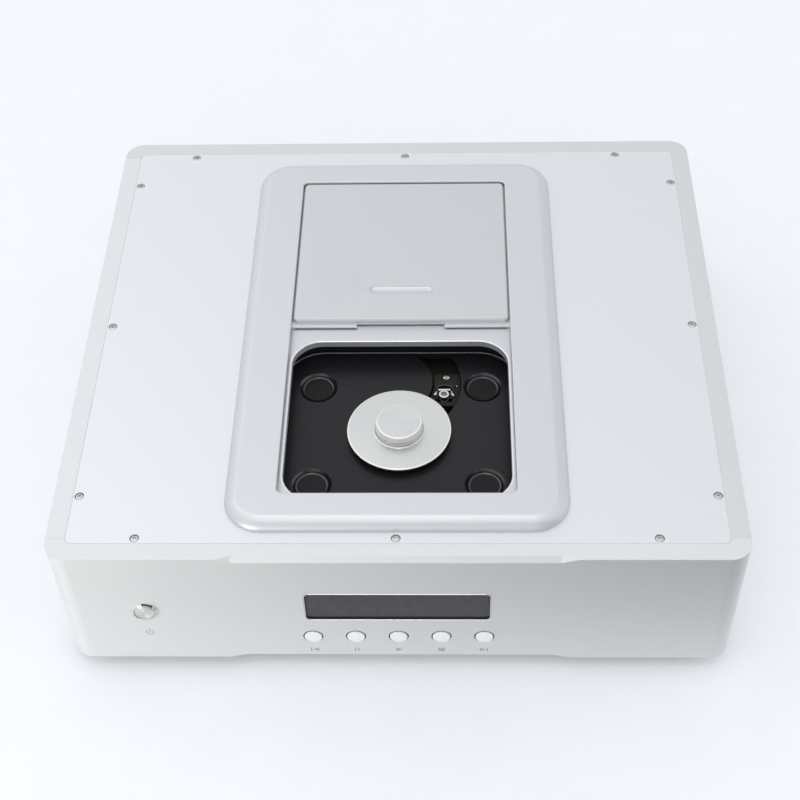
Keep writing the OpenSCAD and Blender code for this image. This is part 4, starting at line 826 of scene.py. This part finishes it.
# Power switch
# A stock panel switch of stainless steel: a polished bevelled ring and a flat button that is spun
# with a fine brush, so that its shine is a fan of light. A nut behind the panel holds it.
polished_ring = finish("polished_stainless", "#E6E6E2", 1.0, 0.1,
                       1.0, ("#E0E0DC", "#ECECE8"), (0.08, 0.12), 0.001)
switch = box_mm("power_switch")
power = box_mm("power_button")
# Spun stainless: brushed in fine rings, so that two bright wedges stand on it
spun_finish = finish("spun_stainless", "#F0EFEA", 1.0, 0.3,
                     0.35, ("#E8E7E2", "#F6F5F0"), (0.24, 0.36), 0.015)
turned_marks(spun_finish, (power.mid[0], 0, power.mid[2]), (1, 0, 1), (0, 1, 0), 0.85)
ring_r = switch.size[0] / 2
barrel_r = 7.9
barrel_deep = 6
ring_stand = 2.0
power_r = power.size[0] / 2 - 0.4
bore_r = power_r + 0.15
bore_chamfer = (0.3, 0.25)
ring_wall = 0.5
bevel_in, bevel_drop, bevel_r = 1.2, 0.75, 0.55
ring_profile = [
    [(bore_r, -barrel_deep), (barrel_r, -barrel_deep), (barrel_r, -ring_stand), (ring_r, -ring_stand),
     (ring_r, -ring_stand + ring_wall)],
    arc((ring_r - bevel_in, -bevel_drop), bevel_r, 30, 80, 5),
    [(bore_r + bore_chamfer[0], 0), (bore_r, -bore_chamfer[1])],
]
skin("power_switch_ring", [facing_front(turn(ring_profile), front_of(switch))], polished_ring,
     "chassis", "chrome_ring", "power_switch", loop=True)
power_side = power_r - 0.05
power_round = 0.3
power_flat, power_dip, power_dish = 0.8, 0.05, 0.12
power_profile = [
    [(CORE_R, -barrel_deep), (power_side, -barrel_deep), (power_side, -power_round)],
    arc((power_side - power_round, -power_round), power_round, 0, 90, 4),
    [(power_r - power_flat, -power_dip), (CORE_R, -power_dish)],
]
skin("power_button_cap", [facing_front(turn(power_profile), front_of(power))], spun_finish,
     "power_key", "bright_steel", "power_button")

# Printed signs
# Grey screen-printed signs under the buttons: previous, pause, play, stop and next, and the
# usual sign for power. The ink lies as a thin flat film on the panel.
ink = finish("grey_screen_ink", "#9DA0A1", 0.0, 0.6, 0.6, ("#999C9D", "#A1A4A5"), (0.55, 0.65), 0.004)
ink_film = 0.06
sign_z = 19.4
half = 2.0
bar = 0.8
skip_x = 2.6
skip_tip = 1.4
pause_x = 1.4
stop_x = half + 0.2
play_base, play_tip = -2.0, 2.4


def prism(points):
    """A flat sign: its outline once on the panel and once at the film's thickness."""
    return np.stack([raised(points, z) for z in (0, ink_film)])


def box_sign(x0, x1):
    """Upright bar from x0 to x1, as tall as the signs."""
    return prism([(x0, -half), (x1, -half), (x1, half), (x0, half)])


def point_sign(base, tip):
    """Triangle from its upright base to its tip."""
    order = [(base, -half), (tip, 0), (base, half)]
    return prism(order if tip > base else order[::-1])


signs = {
    "previous": [box_sign(-skip_x, bar - skip_x), point_sign(skip_x, -skip_tip)],
    "pause": [box_sign(-pause_x, bar - pause_x), box_sign(pause_x - bar, pause_x)],
    "play": [point_sign(play_base, play_tip)],
    "stop": [box_sign(-stop_x, stop_x)],
    "next": [point_sign(-skip_x, skip_tip), box_sign(skip_x - bar, skip_x)],
}
sign_blocks = [facing_front(block, (box_mm(key + "_button").mid[0], panel_front, sign_z))
               for key, blocks in signs.items() for block in blocks]
power_sign_z = 40
power_sign_r = 2.7
power_sign_w = 0.6
stroke = power_sign_w / 2
stroke_low, stroke_high = 0.2, 3.2
power_sign = [
    prism(np.vstack([arc((0, 0), power_sign_r, 125, 415, 30),
                     arc((0, 0), power_sign_r - power_sign_w, 415, 125, 30)])),
    prism([(-stroke, stroke_low), (stroke, stroke_low), (stroke, stroke_high), (-stroke, stroke_high)]),
]
sign_blocks += [facing_front(block, (power.mid[0], panel_front, power_sign_z)) for block in power_sign]
skin("printed_signs", sign_blocks, ink, "chassis", "case_aluminium")

# Rear connectors
# A moulded mains inlet, a phono jack with a gold-plated barrel and a three-pin jack with a black
# nickel shell, set in the milled recess of the rear panel. Their pins are plated brass.
# Glass-filled nylon: black, dull, with a faint grain
dress(finish("glass_filled_nylon", "#1B1B1C", 0.0, 0.5,
             0.8, ("#171718", "#212122"), (0.44, 0.56), 0.015), "mains_inlet")
# Black nickel: a smoky metal
black_nickel = finish("black_nickel", "#4A4A4D", 1.0, 0.3,
                      0.9, ("#424245", "#545457"), (0.24, 0.36), 0.004)
dress(black_nickel, "aes_jack")

# Floor, light and camera
# A pale sweep under soft boxes. The camera stands where the photograph was taken from: above the front,
# a little to the right, turned slightly.
floor_half = 6.0
floor_mesh = bpy.data.meshes.new("floor")
floor_mesh.from_pydata([(x * floor_half, y * floor_half, 0) for x, y in ((-1, -1), (1, -1), (1, 1), (-1, 1))],
                       [], [(0, 1, 2, 3)])
floor = bpy.data.objects.new("floor", floor_mesh)
bpy.context.scene.collection.objects.link(floor)
# Paper: matt, plain; what the camera and the metal see of it is lifted to the white of the backdrop
paper = finish("paper_sweep", "#F4F5F8", 0.0, 0.8, 40.0, ("#F3F4F7", "#F5F6F9"), (0.75, 0.85), 0.0,
               Emission_Color=linear("#F4F5FA"))
floor_mesh.materials.append(paper)


def seen_rays(tree):
    """1 on rays from the camera, a mirror-like surface or glass, else 0."""
    rays = add_node(tree, "LightPath")
    seen = rays.outputs["Is Camera Ray"]
    for kind in ("Is Glossy Ray", "Is Transmission Ray"):
        seen = add_node(tree, "Math", links={0: seen, 1: rays.outputs[kind]},
                        operation="MAXIMUM").outputs["Value"]
    return seen


tree = paper.node_tree
shader = tree.nodes["Principled BSDF"]
floor_lift = 0.06
lift = add_node(tree, "Math", {1: floor_lift}, {0: seen_rays(tree)}, operation="MULTIPLY")
tree.links.new(lift.outputs["Value"], shader.inputs["Emission Strength"])
# In the metal's reflections the paper ends a hand's breadth in front of the case and the dimmer shop begins
ground = add_node(tree, "SeparateXYZ", links={"Vector": add_node(tree, "TexCoord").outputs["Object"]})
faded = add_node(tree, "LightPath").outputs["Is Glossy Ray"]
for axis, places, shares in (("Y", (-0.34, -0.18), (1.0, 0.0)), ("X", (-0.3, 0.2), (0.6, 1.0))):
    fade = add_node(tree, "MapRange", {"From Min": places[0], "From Max": places[1], "To Min": shares[0],
                                       "To Max": shares[1]}, {"Value": ground.outputs[axis]})
    faded = add_node(tree, "Math", links={0: faded, 1: fade.outputs["Result"]},
                     operation="MULTIPLY").outputs["Value"]
paper_end = add_node(tree, "MixShader", links={0: faded, 1: shader.outputs["BSDF"],
                                               2: add_node(tree, "BsdfTransparent").outputs["BSDF"]})
tree.links.new(paper_end.outputs["Shader"], tree.nodes["Material Output"].inputs["Surface"])
world = bpy.data.worlds.new("studio")
bpy.context.scene.world = world
world.use_nodes = True
tree = world.node_tree
tree.nodes.clear()
seen_way = add_node(tree, "TexCoord").outputs["Generated"]


def room_part(way, dots, lights, both_sides=False):
    """Light by direction: the direction's dot product with a way, or its size where both sides count alike,
    runs from the first to the second of dots, and the light from the first to the second of lights."""
    dot = add_node(tree, "VectorMath", {1: way}, {0: seen_way}, operation="DOT_PRODUCT")
    if both_sides:
        dot = add_node(tree, "Math", links={0: dot.outputs["Value"]}, operation="ABSOLUTE")
    return add_node(tree, "MapRange", {"From Min": dots[0], "From Max": dots[1], "To Min": lights[0],
                                       "To Max": lights[1]}, {"Value": dot.outputs["Value"]}).outputs["Result"]


# The room is white but for its low front, which opens to the dimmer shop, and a dark doorway at the front right
room = room_part((0.4, -0.5, -0.77), (0.4, 0.85), (1.0, 0.1))
door_gap = room_part((0.293, 0.747, 0.597), (0.085, 0.11), (0.0, 1.0), both_sides=True)
door_end = room_part((0.35, -0.62, 0.70), (0.74, 0.78), (1.0, 0.0))
door = add_node(tree, "Math", links={0: door_gap, 1: door_end}, operation="MAXIMUM").outputs["Value"]
window_glow = room_part((-0.35, 0.25, 0.9), (0.88, 1.0), (1.0, 1.35))
far_corner = room_part((0.45, 0.8, 0.4), (0.78, 0.95), (1.0, 0.88))
for part in (door, far_corner, window_glow):
    room = add_node(tree, "Math", links={0: room, 1: part}, operation="MULTIPLY").outputs["Value"]
bright = add_node(tree, "Math", links={0: add_node(tree, "LightPath").outputs["Is Camera Ray"], 1: room},
                  operation="MAXIMUM")
ambient = add_node(tree, "Background", {"Color": linear("#F3F4F8"), "Strength": 0.99})
backdrop = add_node(tree, "Background", {"Color": linear("#F4F5FA")}, {"Strength": bright.outputs["Value"]})
mixed = add_node(tree, "MixShader", links={0: seen_rays(tree), 1: ambient.outputs["Background"],
                                           2: backdrop.outputs["Background"]})
add_node(tree, "OutputWorld", links={"Surface": mixed.outputs["Shader"]})


def soft_box(name, at, aim, size, power, colour="#FFFFFF"):
    """A square lamp at a point, facing another."""
    lamp = bpy.data.lights.new(name, "AREA")
    lamp.size = size
    lamp.energy = power
    lamp.color = linear(colour)[:3]
    lamp_object = bpy.data.objects.new(name, lamp)
    turn_to = (Vector(at) - Vector(aim)).to_track_quat("Z", "Y").to_matrix().to_4x4()
    lamp_object.matrix_world = Matrix.Translation(at) @ turn_to
    bpy.context.scene.collection.objects.link(lamp_object)


soft_box("rear_left_box", (-1.15, 0.85, 1.75), (-0.05, -0.05, 0.1), size=1.0, power=1.4, colour="#F6EEFF")
soft_box("left_card", (-0.48, -0.8, 0.06), (-0.18, -0.2, 0.06), size=0.16, power=1.8, colour="#FFFFF4")
soft_box("top_box", (-0.1, -0.35, 2.0), (0.0, -0.1, 0.1), size=0.6, power=2.2)
soft_box("front_box", (-0.1, -1.0, 1.5), (0.0, -0.2, 0.1), size=0.35, power=0.5)

FOCAL_PX = 1509.65
PHOTO_PX = 800
camera_at = (0.03085, -0.72219, 0.86542)
pitch, yaw, roll = math.radians(48.704), math.radians(-2.647), math.radians(-2.154)
ahead = np.array([math.sin(yaw) * math.cos(pitch), math.cos(yaw) * math.cos(pitch), -math.sin(pitch)])
level = np.array([math.cos(yaw), -math.sin(yaw), 0])
upward = np.cross(level, ahead)
right = math.cos(roll) * level + math.sin(roll) * upward
top = -math.sin(roll) * level + math.cos(roll) * upward
camera = bpy.data.cameras.new("camera")
camera.sensor_width = 36
camera.lens = FOCAL_PX * camera.sensor_width / PHOTO_PX
camera_object = bpy.data.objects.new("camera", camera)
camera_object.matrix_world = Matrix([*np.column_stack([right, top, -ahead, camera_at]).tolist(), [0, 0, 0, 1]])
bpy.context.scene.collection.objects.link(camera_object)
bpy.context.scene.camera = camera_object
bpy.context.scene.view_settings.view_transform = "Standard"
